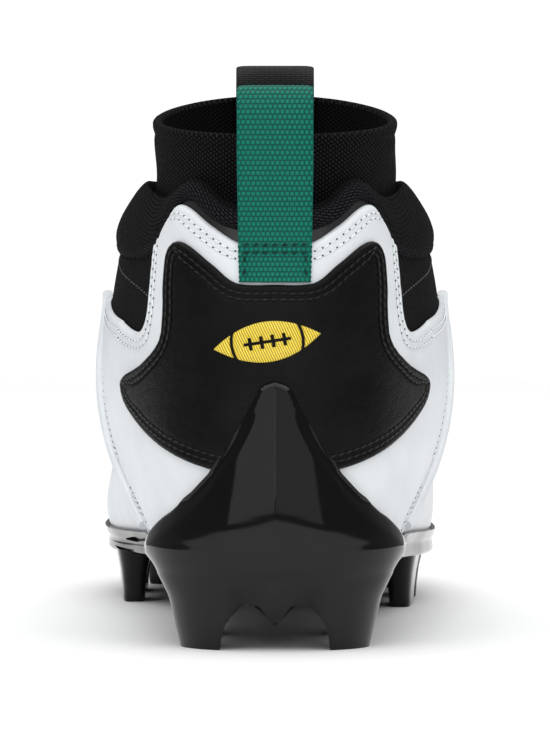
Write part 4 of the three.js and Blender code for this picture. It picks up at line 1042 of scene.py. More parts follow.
def heel_inside(u, z):
    to_flank = np.clip((folded(u) - 1.2) / 0.85, 0, 1)[..., None]
    inward = -unit(last_normal(u, 0 * u) * [1, 1, 0])
    push = unit(lerp(np.array([0, 1.0, 0]), inward, to_flank))
    below = heel_point(u, z, heel_out(u, z)) + push * BLOCK_DEPTH
    above = skin_level(u, z, heel_gap(z))
    return np.where((z < seat_at(u) - 1.5 * CLEAR)[..., None], below, above)


def heel_bottom(u):
    return SEAT * np.interp(folded(u), HEEL_BOTTOM[:, 0], HEEL_BOTTOM[:, 1])


def across_seat(stations, rows, out, rise):
    """Rows of points from side to side at the seat, pushed out, and rise above it."""
    seat = seat_at(stations)
    a, b = skin_level(stations, seat, out), skin_level(ROUND - stations, seat, out)
    p = lerp(a[:, None], b[:, None], rows[None, :, None])
    p[..., 2] = seat[:, None] + rise
    return p


FINE_STATIONS = [0.01, 0.02, 0.032, 0.98, 1.0, 1.01, 1.04, 2.0, 2.01, 2.03, 2.05]  # at the ridge and studs


def make_outsole():
    piece = Piece("outsole_plate", GLOSS_BLACK)
    half = np.unique(np.concatenate([np.arange(0, BLOCK_END + 0.01, 0.045), FINE_STATIONS]))
    stations = np.concatenate([-half[:0:-1], half])
    u, z = grid(stations, BLOCK_HEIGHTS)
    skin_points = heel_point(u, z, heel_out(u, z))
    top_gap = on_surface(plate_top(u) - z, skin_points)
    low_gap = on_surface(z - heel_bottom(u), skin_points)
    depth = np.minimum(np.minimum(top_gap, low_gap), z + 0.001)
    arch = np.stack([skin_points[..., 0], z], -1)
    edge_u = np.linspace(-1.02, 1.02, 60)
    edge_z = heel_bottom(edge_u)
    edge = np.stack([heel_point(edge_u, edge_z, heel_out(edge_u, edge_z))[:, 0], edge_z], -1)
    arch_gap = polyline_distance(arch, edge)

    def outer(pu, pz, pd):
        places = np.stack([np.interp(values, ticks, np.arange(len(ticks)))
                           for values, ticks in ((pu, stations), (pz, BLOCK_HEIGHTS))], -1)
        top, low = at_places(top_gap, places), at_places(arch_gap, places)
        high = np.clip((pz - (SEAT + SPIKE - TIP_DOME)) / TIP_DOME, 0, 1)
        dome = TIP_DROP * (1 - np.sqrt(1 - high**2))
        below_tip = 1 - soft_step((pz - SEAT - SPIKE + 20) / 15)
        middle = 1 - soft_step((folded(pu) - 0.55) / 0.4)
        drop = EDGE_DROP * below_tip * np.clip(1 - top / EDGE_CHAMFER, 0, 1)
        drop += ARCH_DROP * middle * np.clip(1 - low / ARCH_FOLD, 0, 1)
        fall = PLATE_ROUND * (1 - np.clip(np.minimum(top, low) / PLATE_ROUND_WIDE, 0, 1)) ** 2
        bead = RIDGE_BEAD * np.exp(-((pu / BEAD_WIDE) ** 2)) * soft_step((pz - 8) / 6) * (1 - high)
        least = np.where(pz > seat_at(pu), heel_gap(pz) + 0.5, 0)
        out = heel_out(pu, pz) - seat_lean(pu, pz) + bead
        return heel_point(pu, pz, np.maximum(out - drop - dome - fall, least))

    add_slab(piece, u, z, depth, outer, heel_inside)
    # Side wall from wing to wing
    wall_u = np.linspace(WALL_FROM, ROUND - WALL_FROM, (ROUND - 2 * WALL_FROM) * 14 + 1)
    share = np.concatenate([[0, 0.04], np.linspace(0.12, 0.94, 12), [1.0]])
    wu, ws = grid(wall_u, share)
    wz = lerp(seat_at(wu) - PLATE - CLEAR, plate_top(wu), ws)
    plate_in = side_gap(wu)
    bulge = PLATE_WALL * (1 - 0.35 * ws) - PLATE_WALL * 0.55 * np.clip(1 - ws / 0.12, 0, 1) ** 2
    rib = 0.25 * np.exp(-(((ws - 0.55) / 0.08) ** 2))
    piece.add_grid(over_and_under(skin_level(wu, wz, plate_in + bulge - rib), skin_level(wu, wz, plate_in)))
    # Slab under the foot
    slab_u = np.concatenate([[0.06], np.linspace(0.25, TOE - 0.25, 100), [TOE - 0.06]])
    rows = np.linspace(0, 1, 24)
    out = (side_gap(slab_u) + PLATE_WALL * 0.45) * np.clip(folded(slab_u) - WING + 1, 0, 1)
    under, over = (across_seat(slab_u, rows, out, rise) for rise in (-PLATE - CLEAR, -CLEAR))
    y = under[..., 1]
    phase = np.mod(y + RIB_LEAN * np.abs(under[..., 0]), RIB_PITCH) - RIB_PITCH / 2
    ribs = RIB_HIGH * np.exp(-((phase / RIB_WIDE) ** 2))
    inside = soft_step((rows - 0.06) / 0.1) * soft_step((0.94 - rows) / 0.1)
    under[..., 2] -= ribs * inside * soft_step((y - along(0.3)) / 20) * soft_step((along(0.95) - y) / 10)
    piece.add_grid(over_and_under(over, under))
    for stud in STUDS:
        add_stud(piece, *stud)
    add_keel(piece)
    piece.build(["outsole"])


STUD_LONG = 17
STUD_WIDE = 6.5
STUD_SIDES = 32
STUD_CORNER = 5  # higher is squarer
# x, y, length and width as shares of the usual ones, turn in degrees
STUDS = [
    (0.43, 0.203, 0.88, 1.4, 4), (-0.43, 0.203, 0.88, 1.4, -4), (0.76, 0.56, 1, 1, -6),
    (-0.86, 0.63, 1, 1, 4), (0.79, 0.69, 1, 1, 4), (-0.86, 0.75, 1, 1, -6),
    (0.68, 0.82, 0.94, 1, 18), (-0.68, 0.865, 0.94, 1, -22), (0, 0.93, 0.53, 3, 0),
    (0.08, 0.664, 0.82, 1.4, -12), (-0.14, 0.783, 0.82, 1.4, 12),
]
STUD_FLARE = np.array([[0, 1], [0.3, 1.08], [0.6, 1.25], [1, 1.65]])
KEEL = [(0.01, 0.345, 0.19), (0.105, 0.42, 0.17), (0.217, 0.575, 0.12), (0.315, 0.75, 0.08)]  # y, drop, half


def foot_station(y):
    """The station where the seat's edge reaches y."""
    return bisect(lambda u: last_point(u, 0)[1] < y, 0.0, float(TOE), 24)[0]


def add_stud(piece, x, y, long, wide, turn):
    root = seat_at(foot_station(along(y))) - CLEAR - PLATE / 2
    ups = np.concatenate([[0.0, 0.02, 0.07], np.linspace(0.15, 1, 12)])
    grow = np.interp(ups, STUD_FLARE[:, 0], STUD_FLARE[:, 1])
    grow[0] -= 0.07
    grow[1] -= 0.02
    angle = np.linspace(0, 2 * math.pi, STUD_SIDES + 1)[:-1]
    cos, sin = np.cos(angle), np.sin(angle)
    square = 1 / (np.abs(cos) ** STUD_CORNER + np.abs(sin) ** STUD_CORNER) ** (1 / STUD_CORNER)
    px = cos * square * STUD_WIDE * wide / 2
    py = sin * square * STUD_LONG * long / 2
    c, s = math.cos(math.radians(turn)), math.sin(math.radians(turn))
    turned = np.stack([px * c - py * s, px * s + py * c, 0 * px], -1)
    rings = np.array([turned * g + [across(x), along(y), root * up] for up, g in zip(ups, grow)])
    piece.add_grid(np.concatenate([rings, rings[:, :1]], 1), flip=True)
    piece.add(rings[0], [list(reversed(range(STUD_SIDES)))])


def add_keel(piece):
    keel = np.array(KEEL)
    at = np.linspace(keel[0, 0], keel[-1, 0], 24)
    drop, half = np.interp(at, keel[:, 0], keel[:, 1]), np.interp(at, keel[:, 0], keel[:, 2])
    top = SEAT - CLEAR - PLATE / 2
    sides = [np.stack([across(half) * s, along(at), np.full(len(at), top)], -1) for s in (-1, 1)]
    edge = np.stack([0 * at, along(at), SEAT * drop], -1)
    piece.add_grid(np.stack([sides[0], edge], 1))
    piece.add_grid(np.stack([edge, sides[1]], 1))


make_outsole()


# ---- Sock collar ----
def sock_point(angle, z, out):
    x = np.sin(angle) * (SOCK_HALF_WIDE + out)
    y = SOCK_MIDDLE - np.cos(angle) * (SOCK_HALF_LONG + out)
    return np.stack(np.broadcast_arrays(x, y, z), -1)


def sock_edge(angle):
    return SOCK_BACK + SOCK_RISE * (1 - np.cos(angle)) / 2 - SOCK_RISE / 8 * np.sin(angle) ** 2


SOCK_EDGE = 1.2  # height of the sock collar's rounded rim


def make_sock():
    piece = Piece("sock_collar_knit", SOCK_KNIT, SOCK_LINING)
    angle = np.linspace(0, 2 * math.pi, 241)[:, None]
    edge = sock_edge(angle)
    s = np.linspace(0, 1, 60)[None, :]
    z = lerp(SOCK_BACK - SOCK_DEEP, edge - SOCK_EDGE, s)
    belly = np.sin(math.pi * s)
    waist = SOCK_WALL / 5 * belly
    folds = (0.28 * np.sin(5 * angle + 9 * s) + 0.2 * np.sin(11 * angle - 14 * s)) * belly
    hem = 0.35 * np.exp(-(((edge - z) - 1.6) / 1.5) ** 2) - 0.3 * np.exp(-(((edge - z) - 4.2) / 0.8) ** 2)
    outer = sock_point(angle, z, hem - waist + folds)
    turn = np.linspace(0, math.pi, 9)[None, :]
    lip_out = 0.2 - SOCK_WALL / 2 + (SOCK_WALL / 2 + 0.15) * np.cos(turn)
    lip = sock_point(angle, edge - SOCK_EDGE + SOCK_EDGE * np.sin(turn), lip_out)
    z_in = z[:, ::-1]
    inner = sock_point(angle, z_in, -SOCK_WALL - waist[:, ::-1] + folds[:, ::-1] * 0.6)
    lengthwise = angle * (SOCK_HALF_WIDE + SOCK_HALF_LONG) / 2
    up = np.concatenate([z, edge + 2 * turn / math.pi], 1)
    down = np.concatenate([z_in[:, :1], z_in, z_in[:, -1:]], 1)
    piece.add_grid(np.concatenate([outer, lip], 1), 0, spread(lengthwise, up))
    piece.add_grid(np.concatenate([lip[:, -1:], inner, outer[:, :1]], 1), 1, spread(lengthwise, down))
    piece.build(["sock_collar"], merge=0.01)


make_sock()


# ---- Collar pad and the roll along the rim ----
PAD_RISE = 21
PAD_DEPTH = 13
PAD_HOOK = WALL + 4 * CLEAR
# Station from the heel; rise and bulge as shares of PAD_RISE
PAD = np.array([
    [0, 0.29, 0.08], [1, 0.26, 0.07], [1.9, 0.25, 0.06], [2.2, 0.31, 0.06], [2.6, 0.5, 0.06], [3, 0.74, 0.06],
    [3.4, 0.91, 0.06], [3.8, 0.99, 0.06], [4.2, 1, 0.06], [5, 0.85, 0.06],
])
PAD_END = 8
PAD_ROUND = [(0.3, 0.06), (0.6, 0.25), (0.85, 0.5), (1, 0.8), (1.03, 0.97)]
ROLL = 2.5  # radius of the roll
ROLL_END = 5.2  # stations from the heel to each of its ends


def pad_section(u):
    rise, bulge = (float(np.interp(abs(u), PAD[:, 0], PAD[:, k])) * PAD_RISE for k in (1, 2))
    rim = last_point(u, 1.0)
    angle = math.atan2(rim[0] / SOCK_HALF_WIDE, -(rim[1] - SOCK_MIDDLE) / SOCK_HALF_LONG)
    flat = unit(last_normal(u, 1.0) * [1, 1, 0])

    def sock(z):
        return sock_point(angle, z, 2 * CLEAR)

    def at(inward, up, out):
        p = lerp(rim, sock(rim[2]), inward) + flat * out
        p[2] = rim[2] + rise * up
        return p

    def level(p, z):
        p = p.copy()
        p[2] = z
        return p

    lift = 2 * CLEAR
    low = skin(u, v_at(u, rim[2] - PAD_DEPTH), -PAD_HOOK)
    return np.array([
        low, level(skin(u, 1.0, -PAD_HOOK), rim[2] - lift * 2),
        level(skin(u, 1.0, -WALL), rim[2] + lift * 1.6), level(at(0, 0, bulge * 0.3), rim[2] + lift * 1.6),
        at(0.04, 0.3, bulge), at(0.3, 0.62, bulge),
        at(0.58, 0.88, bulge * 0.6), at(0.82, 1, 0), sock(rim[2] + rise * 0.86), sock(rim[2] - PAD_DEPTH),
    ])


def make_pad():
    piece = Piece("collar_pad_knit", PAD_KNIT)
    stations = np.linspace(-5, 5, 121)
    sections = np.array([pad_section(u) for u in stations])

    def rounded_end(last, before):
        middle = last.mean(0)
        onward = unit(middle - before.mean(0))
        return [lerp(last, middle, shrink) + onward * on * PAD_END for on, shrink in PAD_ROUND]

    sections = np.concatenate([
        rounded_end(sections[0], sections[1])[::-1], sections, rounded_end(sections[-1], sections[-2])])
    closed = np.concatenate([sections, sections[:, :1]], 1)
    fine = np.array([np.concatenate([row[:2], spline(row[2:9], 30), row[9:]]) for row in closed])
    face = fine[:, 2:32]  # the part that shows, over the rim
    swell = np.sin(np.linspace(0, math.pi, 30)) ** 0.7
    big = np.interp(np.abs(np.linspace(-5.3, 5.3, len(fine))), [2.2, 3.2, 4.8, 5.3], [0.1, 0.7, 0.7, 0])
    face += unit(face - face.mean(1, keepdims=True) + [0, 0, 2.0]) * (swell * big[:, None] * 0.9)[..., None]
    way = np.cumsum(np.linalg.norm(np.diff(fine, axis=1, prepend=fine[:, :1]), axis=-1), axis=1)
    piece.add_grid(fine, 0, spread(lengths(fine[:, 15])[:, None], way), flip=True)
    piece.build(["collar_pad"])


def make_roll():
    piece = Piece("collar_roll", ROLL_KNIT)
    u = np.linspace(-ROLL_END, ROLL_END, 300)
    flat = unit(last_normal(u, 1.0) * [1, 1, 0])
    outward = ROLL * np.interp(np.abs(u), [1.1, 2.1], [0.28, -0.45])
    middles = last_point(u, 1.0) + flat * outward[:, None] + [0, 0, ROLL * 0.78]
    thin = np.clip((ROLL_END - np.abs(u)) / 0.35, 0.05, 1) ** 0.5
    sweep(piece, middles, flat, ROLL * 1.02, ROLL * 0.95, 16, scale=thin)
    piece.build()


make_pad()
make_roll()


# ---- Tongue ----
TONGUE_FROM = 9.5
TONGUE_TO = 6
TONGUE_EDGES = np.array([0.7, 0.75, 0.875, 0.97])
TONGUE_BRIDGE = (0.25, 0.5, 0.75)
TONGUE_TOP = 1.02
TONGUE_SPREAD = 0.64
TONGUE_IN = WALL + 3 * CLEAR


def tongue_section(u, drop):
    outer, inner = skin(u, TONGUE_EDGES, -drop), skin(ROUND - u, TONGUE_EDGES, -drop)[::-1]
    a, b = outer[-1], inner[0]
    bridge = [lerp(a, b, t) + [0, 0, (a[0] - b[0]) * 0.08 * math.sin(math.pi * t)] for t in TONGUE_BRIDGE]
    return np.concatenate([outer, bridge, inner])


def tongue_end(share, drop, start):
    angle = math.pi - np.linspace(TONGUE_SPREAD, -TONGUE_SPREAD, len(start))
    end = sock_point(angle, upward(TONGUE_TOP) + (drop - TONGUE_IN) * 0.5, CLEAR + TONGUE_IN + TONGUE - drop)
    return lerp(start, end, share)


def make_tongue():
    piece = Piece("tongue_knit", TONGUE_KNIT)

    def sheet(drop):
        laid = [tongue_section(u, drop) for u in np.linspace(TONGUE_FROM, TONGUE_TO, 40)]
        ends = [tongue_end(share, drop, laid[-1]) for share in (0.12, 0.25, 0.4, 0.55, 0.7, 0.85, 1)]
        return np.array([spline(row, 41) for row in laid + ends])

    outer, inner = sheet(TONGUE_IN + 0.1), sheet(TONGUE_IN + TONGUE)
    run = np.linspace(0, 150, len(outer))[:, None]
    sideways = np.concatenate([np.linspace(0, 70, 41), np.linspace(70, 0, 41), [0]])[None, :]
    piece.add_grid(over_and_under(outer, inner), 0, spread(sideways, run))
    piece.add_ends(outer, inner)
    piece.build(["tongue"], merge=0.01)


make_tongue()

# ---- Eyestay, eyelets and laces ----
EYESTAY_WIDE = 16
EYESTAY_TIP = [
    (-0.8, 0.3, True), (0.8, 0.3, True), (0.5, 0.7, True), (0.3, 0.77), (0, 0.795), (-0.3, 0.77),
    (-0.5, 0.7, True),
]
EYESTAY_STITCHES = (2.0, 13.4)
EYESTAY_LOW = 0.55  # the eyestay's grid starts at this v
eyestay_stitches = Piece("eyestay_stitches", BLACK_THREAD)


def make_eyestay():
    piece = Piece("eyestay_leather", BLACK_LEATHER)
    throat_u = np.linspace(6, VAMP, 40)
    throat = np.concatenate([last_point(throat_u, 1.0), last_point(ROUND - throat_u, 1.0)[::-1]])
    tip = smooth_outline([(across(x), along(y), *rest) for x, y, *rest in EYESTAY_TIP])
    for start, end in ((6, TOE), (TOE, ROUND - 6)):
        u, v = grid(np.linspace(start, end, 200), np.linspace(EYESTAY_LOW, 1, 90))
        base = last_point(u, v)
        from_rim = np.linalg.norm(base - last_point(u[:, :1], 1.0), axis=-1) - EYESTAY_WIDE
        field = np.maximum(from_rim, outline_distance(base[..., :2], tip))
        throat_gap = polyline_distance(base, throat)

        def outer(pu, pv, depth, throat_gap=throat_gap, start=start, end=end):
            i, j = (pu - start) / (end - start) * 199, (pv - EYESTAY_LOW) / (1 - EYESTAY_LOW) * 89
            gap = at_places(throat_gap, np.stack([i, j], -1))
            groove = stitch_groove(gap, EYESTAY_STITCHES)
            return rounded(pu, pv, QUARTER_OUT, np.minimum(depth, gap + 0.05), 1.2, groove)

        add_slab(piece, u, v, -field, outer, lambda pu, pv: skin(pu, pv, CLEAR))
        masked = np.where(field < -1.2, throat_gap, FAR)
        for level in EYESTAY_STITCHES:
            for line in contour(masked, level):
                pu, pv = at_places(u, line), at_places(v, line)
                if len(line) > SHORTEST and at_places(throat_gap, line).max() < 20:
                    stitch_line(eyestay_stitches, None, skin(pu, pv, QUARTER_OUT), last_normal(pu, pv))
    piece.build(["eyestay"])


EYELETS = [6.3, 6.9, 7.45, 8.0, 8.5]
EYELET_IN = 7
EYELET = 2.6  # radius of an eyelet's punched edge
LACE_LIFT = QUARTER_OUT + 2 * CLEAR + LACE / 2


def v_below_rim(u, way):
    """The v at which the last is a given way below its rim."""
    rim = last_point(u, 1.0)
    return bisect(lambda v: np.linalg.norm(last_point(u, v) - rim) > way, 0.4, 1.0, 20)[0]


def ribbon(piece, path, normals, width, thick, bend=0.0, width_by=1.0, weave_by=None, faces=9):
    """A strip of cloth of real thickness with soft edges. bend gives how far its sides bend along y."""
    path = np.asarray(path)
    forward = unit(np.gradient(path, axis=0))
    side = unit(np.cross(forward, normals))
    normals = unit(np.cross(side, forward))
    s = np.linspace(0.5, -0.5, faces)
    s = np.sign(s) * 0.5 * np.sin(np.abs(s) * math.pi) ** 0.6
    half = np.sqrt(np.clip(1 - (np.abs(s) * 2) ** 10, 0, 1)) * thick / 2
    share = np.concatenate([s, s[::-1][1:-1]])
    lift = np.concatenate([half, -half[::-1][1:-1]])
    way = lengths(path)
    offset = share[None, :] * np.broadcast_to(width * np.asarray(width_by), len(path))[:, None]
    raised = lift[None, :] + 0 * offset
    if weave_by is not None:
        raised += np.sign(lift)[None, :] * weave_by(offset, way[:, None])
    rings = path[:, None] + side[:, None] * offset[..., None] + normals[:, None] * raised[..., None]
    rings[..., 1] += np.broadcast_to(bend, len(path))[:, None] * (2 * share[None, :]) ** 2
    piece.add_tube(rings, 0, spread(np.append(share, share[0])[None, :] * width, way[:, None]))


def make_laces():
    piece = Piece("laces_woven", LACE_WEAVE)
    holes = Piece("eyelets", DARK_HOLE_SHADE, BLACK_THREAD)

    def strand(a, b, over):
        starts, ends = ([
            skin(at, v_below_rim(u, EYELET_IN + 1.2), QUARTER_OUT - 0.6),
            skin(at, v_below_rim(u, EYELET_IN) + 0.02, LACE_LIFT + 0.2), skin(at, 1.0, LACE_LIFT),
        ] for u, at in ((a, a), (b, ROUND - b)))
        middle = lerp(starts[-1], ends[-1], 0.5) + [0, 0, over * LACE]
        path = spline([*starts, middle, *ends[::-1]], 49)
        share = np.linspace(0, 1, 49)[:, None]
        normals = unit(lerp(last_normal(a, 0.97), last_normal(ROUND - b, 0.97), share))
        pinch = 0.5 + 0.5 * soft_step(np.minimum(share[:, 0], 1 - share[:, 0]) / 0.2)
        ribbon(piece, path, normals, LACE_WIDE, LACE, width_by=pinch, faces=13)

    strand(EYELETS[-1], EYELETS[-1], 0.8)
    for k, (low, high) in enumerate(zip(EYELETS, EYELETS[1:])):
        over = (1.7, 0.7) if k % 2 else (0.7, 1.7)
        strand(low, high, over[0])
        strand(high, low, over[1])
    for u in EYELETS:
        for at in (u, ROUND - u):
            v = v_below_rim(at, EYELET_IN + 0.8)
            normal = last_normal(at, v)
            middle = skin(at, v, QUARTER_OUT + 0.02)
            t = unit(np.cross(normal, [0, 0, 1.0]))
            b = np.cross(normal, t)
            turn = np.linspace(0, 2 * math.pi, 25)[:, None]
            ring = middle + EYELET * (np.cos(turn) * t + np.sin(turn) * b)
            hole = 2 * EYELET - 0.4
            # A dark disc fills each eyelet: the dark tongue behind it, with painted shade inside the hole.
            add_beads(holes, middle[None], t[None], normal[None], hole, hole, 0.3, sides=16)
            sweep(holes, ring, np.broadcast_to(normal, ring.shape), 0.5, 0.4, 8, kind=1)
    piece.build(["laces"])
    holes.build()


make_eyestay()
make_laces()


# ---- Insole ----
def make_insole():
    piece = Piece("insole_cloth", INSOLE_CLOTH)
    slab_u = np.concatenate([[0.25], np.linspace(0.5, TOE - 0.5, 90), [TOE - 0.25]])
    rows = np.linspace(0, 1, 25)
    cup = (np.abs(2 * rows - 1) ** 4)[None, :] - 0.35
    over, under = (across_seat(slab_u, rows, -WALL - CLEAR, rise) for rise in (CLEAR + INSOLE + cup, CLEAR))
    ring = over_and_under(over, under)
    piece.add_grid(ring, 0, ring[..., :2])
    piece.add_ends(over, under)
    piece.build(["insole"])


make_insole()

# ---- Pull loops ----
# inward, up
HEEL_LOOP = [
    (0, 0.1), (-0.03, 0.35), (0.02, 0.65), (0.12, 0.88), (0.4, 1), (0.75, 0.93), (0.95, 0.8), (1, 0.62),
    (1, 0.45),
]
FRONT_LOOP = [(0, 0), (0, 0.35), (-0.4, 0.72), (-0.1, 0.97), (0.8, 1), (1.3, 0.75), (1.05, 0.4), (1, 0.1)]
FRONT_LOOP_DEEP = 11
SOCK_IN = SOCK_WALL * 1.5 + CLEAR + WEBBING / 2
YARN_LEAN = 0.3
YARN_HIGH = 0.24
SEWN_ROWS = (113.4, 111.0)  # heights of the rows that sew the heel loop down
SEWN_HALF = 9.4
SEWN_SIDES = (-8.6, 8.6)


def sock_bend(width):
    return SOCK_HALF_LONG * (1 - math.sqrt(1 - (width / 2 / SOCK_HALF_WIDE) ** 2))


def heel_bend(width, v):
    u = bisect(lambda u: last_point(u, v)[0] < width / 2, 0.0, 2.0, 20)[0]
    return last_point(u, v)[1] - last_point(0, v)[1]


def loop_points(table, outside, inside, bottom, top):
    return [(0, lerp(outside, inside, inward), lerp(bottom, top, up)) for inward, up in table]


def loop_normals(path):
    forward = np.gradient(path, axis=0)
    return unit(np.cross(forward, [-1.0, 0, 0]))


def yarns(offset, way):
    """Raised yarns of the webbing, in a brick bond."""
    row = way / YARN_TALL
    whole = np.floor(row)
    column = offset / YARN_WIDE + 0.5 * whole + YARN_LEAN * (row - whole)
    return YARN_HIGH * np.abs(np.sin(math.pi * row) * np.sin(math.pi * column)) ** 0.7


def make_heel_loop():
    piece = Piece("heel_pull_loop_webbing", GREEN_TAPE)
    half = WEBBING / 2
    sewn = [skin(0.0, v_at(0.0, upward(foot)), QUARTER_OUT + CLEAR + half) for foot in (0.851, 0.895, 0.94)]
    rim = last_point(0.0, 1.0)
    outside = rim[1] - PAD_RISE * PAD[0][2] - 2 * CLEAR - half
    inside = SOCK_MIDDLE - SOCK_HALF_LONG + SOCK_IN
    points = sewn + loop_points(HEEL_LOOP, outside, inside, rim[2], HEEL_LOOP_TOP - half)
    path = spline(points, 440)
    share = np.linspace(0, 1, len(path))
    bend = lerp(heel_bend(HEEL_LOOP_WIDE, 0.9), sock_bend(HEEL_LOOP_WIDE), np.clip(share * 2 - 0.6, 0, 1))
    normals = loop_normals(path)
    wide = np.interp(share, [0, 0.42, 0.6, 1], [0.955, 1.02, 1.02, 0.98])
    wide += 0.009 * np.cos(2 * math.pi * lengths(path) / YARN_TALL)
    ribbon(piece, path, normals, HEEL_LOOP_WIDE, WEBBING, bend, wide, yarns, 97)
    piece.build(["heel_pull_loop"])
    stitches = Piece("heel_pull_loop_stitches", GREEN_THREAD)
    outer_leg = np.arange(len(path)) < 200

    def spot(x, z):
        k = int(np.argmin(np.where(outer_leg, np.abs(path[:, 2] - z), 1e9)))
        p = path[k] + normals[k] * (half + 0.12)
        return p + [x, bend[k] * (2 * x / HEEL_LOOP_WIDE) ** 2, 0], normals[k]

    lines = [[spot(x, z) for x in np.linspace(-SEWN_HALF, SEWN_HALF, 12)] for z in SEWN_ROWS]
    lines += [[spot(x, z) for z in np.linspace(upward(0.865), SEWN_ROWS[1], 8)] for x in SEWN_SIDES]
    for line in lines:
        points, ups = np.array(line).swapaxes(0, 1)
        stitch_line(stitches, None, points, ups, thick=0.8)
    stitches.build()


def make_front_loop():
    piece = Piece("front_pull_loop_tape", BLACK_TAPE)
    half = WEBBING / 2
    front = SOCK_MIDDLE + SOCK_HALF_LONG
    bottom = SOCK_BACK + SOCK_RISE - FRONT_LOOP_DEEP
    points = loop_points(FRONT_LOOP, front + CLEAR + half, front - SOCK_IN, bottom, FRONT_LOOP_TOP - half)
    path = spline(points, 120)
    share = np.linspace(0, 1, len(path))
    bend = -sock_bend(FRONT_LOOP_WIDE) * np.clip((np.abs(2 * share - 1) - 0.2) / 0.38, 0, 1)
    ribbon(piece, path, loop_normals(path), FRONT_LOOP_WIDE, WEBBING, bend, faces=25)
    piece.build(["front_pull_loop"])


make_heel_loop()
make_front_loop()


# ---- Seam on the ankle cloth, pinholes of the forefoot, embroidered ball ----
SEAM_FROM_TO = (0.1, 0.31)  # shares of LENGTH
SEAM_HEIGHTS = (95, 108)


def make_ankle_seams():
    threads = Piece("ankle_seam_stitches", GREY_THREAD)
    for side in (1, -1):
        share = np.linspace(0, 1, 40)
        y, z = along(lerp(*SEAM_FROM_TO, share)), lerp(*SEAM_HEIGHTS, share**0.8)
        u = np.array([side_station(a, b, side) for a, b in zip(y, z)])
        v = v_at(u, z)
        stitch_line(threads, None, skin(u, v, 0), last_normal(u, v), thick=0.42)
    threads.build()


PINHOLE = 1.1
PINHOLE_FROM = 8.1  # stations
PINHOLE_TO = 12.2
PINHOLE_STEP = 0.27


def make_pinholes():
    holes = Piece("forefoot_pinholes", DARK_HOLE_SHADE)
    rows = []
    for k, u in enumerate(np.arange(PINHOLE_FROM, PINHOLE_TO, PINHOLE_STEP)):
        for side in (1, -1):
            for v in np.arange(0.5 + 0.02 * (k % 2), 0.93, 0.055):
                if u < VAMP + 0.6 and v > 0.72:
                    continue
                rows.append((u if side > 0 else ROUND - u, v))
    u, v = np.array(rows).T
    normals = last_normal(u, v)
    points = skin(u, v, -0.12 - creases(last_point(u, v)))
    t = unit(np.cross(normals, [0, 0.2, 1.0]))
    # Dark beads for the perforations: the black lining behind them, with painted shade inside each hole.
    add_beads(holes, points, t, normals, PINHOLE, PINHOLE, 0.4, rings=3, sides=8)
    holes.build()


BALL_LONG = 14.0  # half the embroidered ball's length
BALL_HIGH = 5.6
BALL_MIDDLE = (-2.0, 86.0)
BALL_TURN = 0.16
BALL_BARS = (-4.5, -1.5, 1.5, 4.5)
BALL_BAR = (0.45, 1.75)  # half its width and half its length
BALL_SEAM = (6.2, 0.42)
BALL_STRIPE = 9.3  # from the middle to each curved stripe
BALL_STRIPE_HALF = 0.4
BALL_RISE = 0.65  # of the thread over the leather


def make_ball():
    """A plain ball with laces, embroidered in gold: pointed oval, seam and four cross bars left open."""
    piece = Piece("embroidered_ball", GOLD)
    half = np.array([BALL_LONG, BALL_HIGH]) + 1  # of the grid, which goes 1 mm past the ball
    counts = np.array([150, 70])
    a, b = grid(*[np.linspace(-h, h, count) for h, count in zip(half, counts)])
    ball = BALL_HIGH * (1 - (a / BALL_LONG) ** 2) - np.abs(b)
    marks = [(0, *BALL_SEAM), *((x, *BALL_BAR) for x in BALL_BARS)]
    bars = [np.maximum(np.abs(a - x) - wide, np.abs(b) - tall) for x, wide, tall in marks]
    stripes = np.abs(np.abs(a) - BALL_STRIPE + 0.05 * b**2) - BALL_STRIPE_HALF
    depth = np.min([ball, *bars, stripes], axis=0)
    c, s = math.cos(BALL_TURN), math.sin(BALL_TURN)
    u, v = rear_uv(BALL_MIDDLE[0] + a * c - b * s, BALL_MIDDLE[1] + a * s + b * c)

    def face(pb, pa, out):
        places = (np.stack([pa, pb], -1) + half) / (2 * half) * (counts - 1)
        return skin(at_places(u, places), at_places(v, places), out)

    add_slab(piece, b, a, depth,
             lambda pb, pa, pd: face(pb, pa, PANEL_OUT + 0.05 + BALL_RISE * np.sqrt(np.clip(pd / 1.4, 0, 1))),
             lambda pb, pa: face(pb, pa, PANEL_OUT - 0.25))
    piece.build()


make_ankle_seams()
make_pinholes()
make_ball()
white_stitches.build()
white_hole_shades.build()
black_stitches.build()
black_hole_shades.build()
eyestay_stitches.build()


# ---- Studio ----
FLOOR = 1.35  # radius of the pale floor, in metres
FLOOR_SIDES = 96


def link(name, data):
    made = bpy.data.objects.new(name, data)
    bpy.context.scene.collection.objects.link(made)
    return made


def turn_to(thing, place, aim):
    thing.location = place
    thing.rotation_mode = "QUATERNION"
    thing.rotation_quaternion = (Vector(aim) - Vector(place)).to_track_quat("-Z", "Y")


def make_floor():
    mesh = bpy.data.meshes.new("floor")
    turns = [2 * math.pi * k / FLOOR_SIDES for k in range(FLOOR_SIDES)]
    rim = [(FLOOR * math.cos(turn), FLOOR * math.sin(turn), 0) for turn in turns]
    mesh.from_pydata(rim, [], [list(range(FLOOR_SIDES))])
    mesh.materials.append(Look("studio_floor", (0.96, 0.96, 0.96, 1), 0.6).material)
    link("floor", mesh)


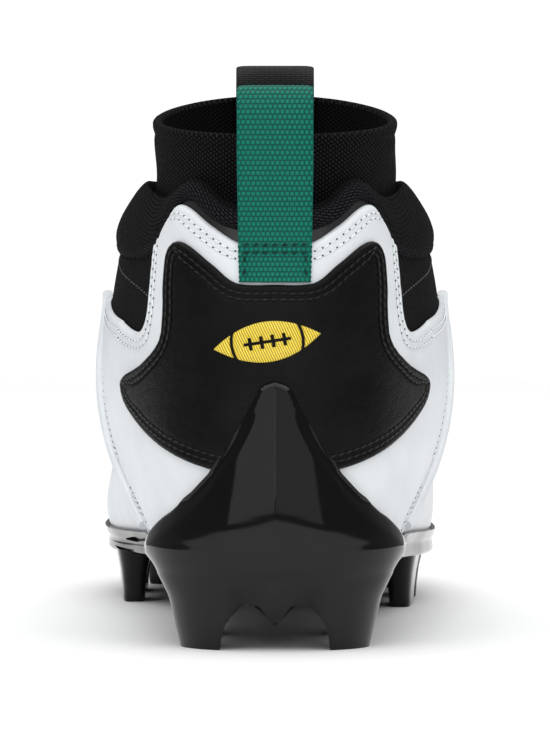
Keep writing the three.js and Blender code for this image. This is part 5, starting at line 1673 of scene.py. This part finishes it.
def add_light(name, place, aim, size, power):
    light = bpy.data.lights.new(name, "AREA")
    light.shape = "RECTANGLE"
    light.size, light.size_y = size
    light.energy = power
    turn_to(link(name, light), place, aim)


SHOE_MIDDLE = (0.0, 0.0, 0.08)
AMBIENT = 0.22  # strength of the world's light
BACKDROP = 1.05  # and what the camera sees of it


def make_lights():
    add_light("overhead", (0, 0, 2.2), (0, 0, 0), (5.0, 5.0), 129)
    add_light("left", (-1.25, -2.1, 0.8), SHOE_MIDDLE, (1.3, 1.4), 5.5)
    add_light("right", (1.25, -2.1, 0.8), SHOE_MIDDLE, (1.3, 1.4), 3.7)
    add_light("strip", (0, -2.5, 0.78), SHOE_MIDDLE, (0.5, 0.9), 7)
    add_light("spark", (-0.12, -1.6, 1.6), SHOE_MIDDLE, (0.13, 0.13), 1.4)
    world = bpy.data.worlds.new("studio")
    world.use_nodes = True
    nodes, links = world.node_tree.nodes, world.node_tree.links
    mix = nodes.new("ShaderNodeMixShader")
    links.new(nodes.new("ShaderNodeLightPath").outputs["Is Camera Ray"], mix.inputs[0])
    shades = (nodes["Background"], AMBIENT), (nodes.new("ShaderNodeBackground"), BACKDROP)
    for socket, (shade, strength) in zip(mix.inputs[1:], shades):
        shade.inputs["Color"].default_value = (1, 1, 1, 1)
        shade.inputs["Strength"].default_value = strength
        links.new(shade.outputs[0], socket)
    links.new(mix.outputs[0], nodes["World Output"].inputs["Surface"])
    bpy.context.scene.world = world


# The photo's camera: level with the laces, two metres behind the heel, looking slightly down.
CAMERA_BACK = 2.0
CAMERA_HIGH = 0.177
CAMERA_LENS = 354
AIM_HIGH = 0.0799


def make_camera():
    data = bpy.data.cameras.new("camera")
    data.lens = CAMERA_LENS
    data.sensor_width = 36
    data.clip_start, data.clip_end = 0.05, 50
    camera = link("camera", data)
    heel = CAD_BOX[0][1]
    turn_to(camera, (0, heel - CAMERA_BACK, CAMERA_HIGH), (0, heel, AIM_HIGH))
    bpy.context.scene.camera = camera


make_floor()
make_lights()
make_camera()
bpy.context.scene.view_settings.view_transform = "Standard"
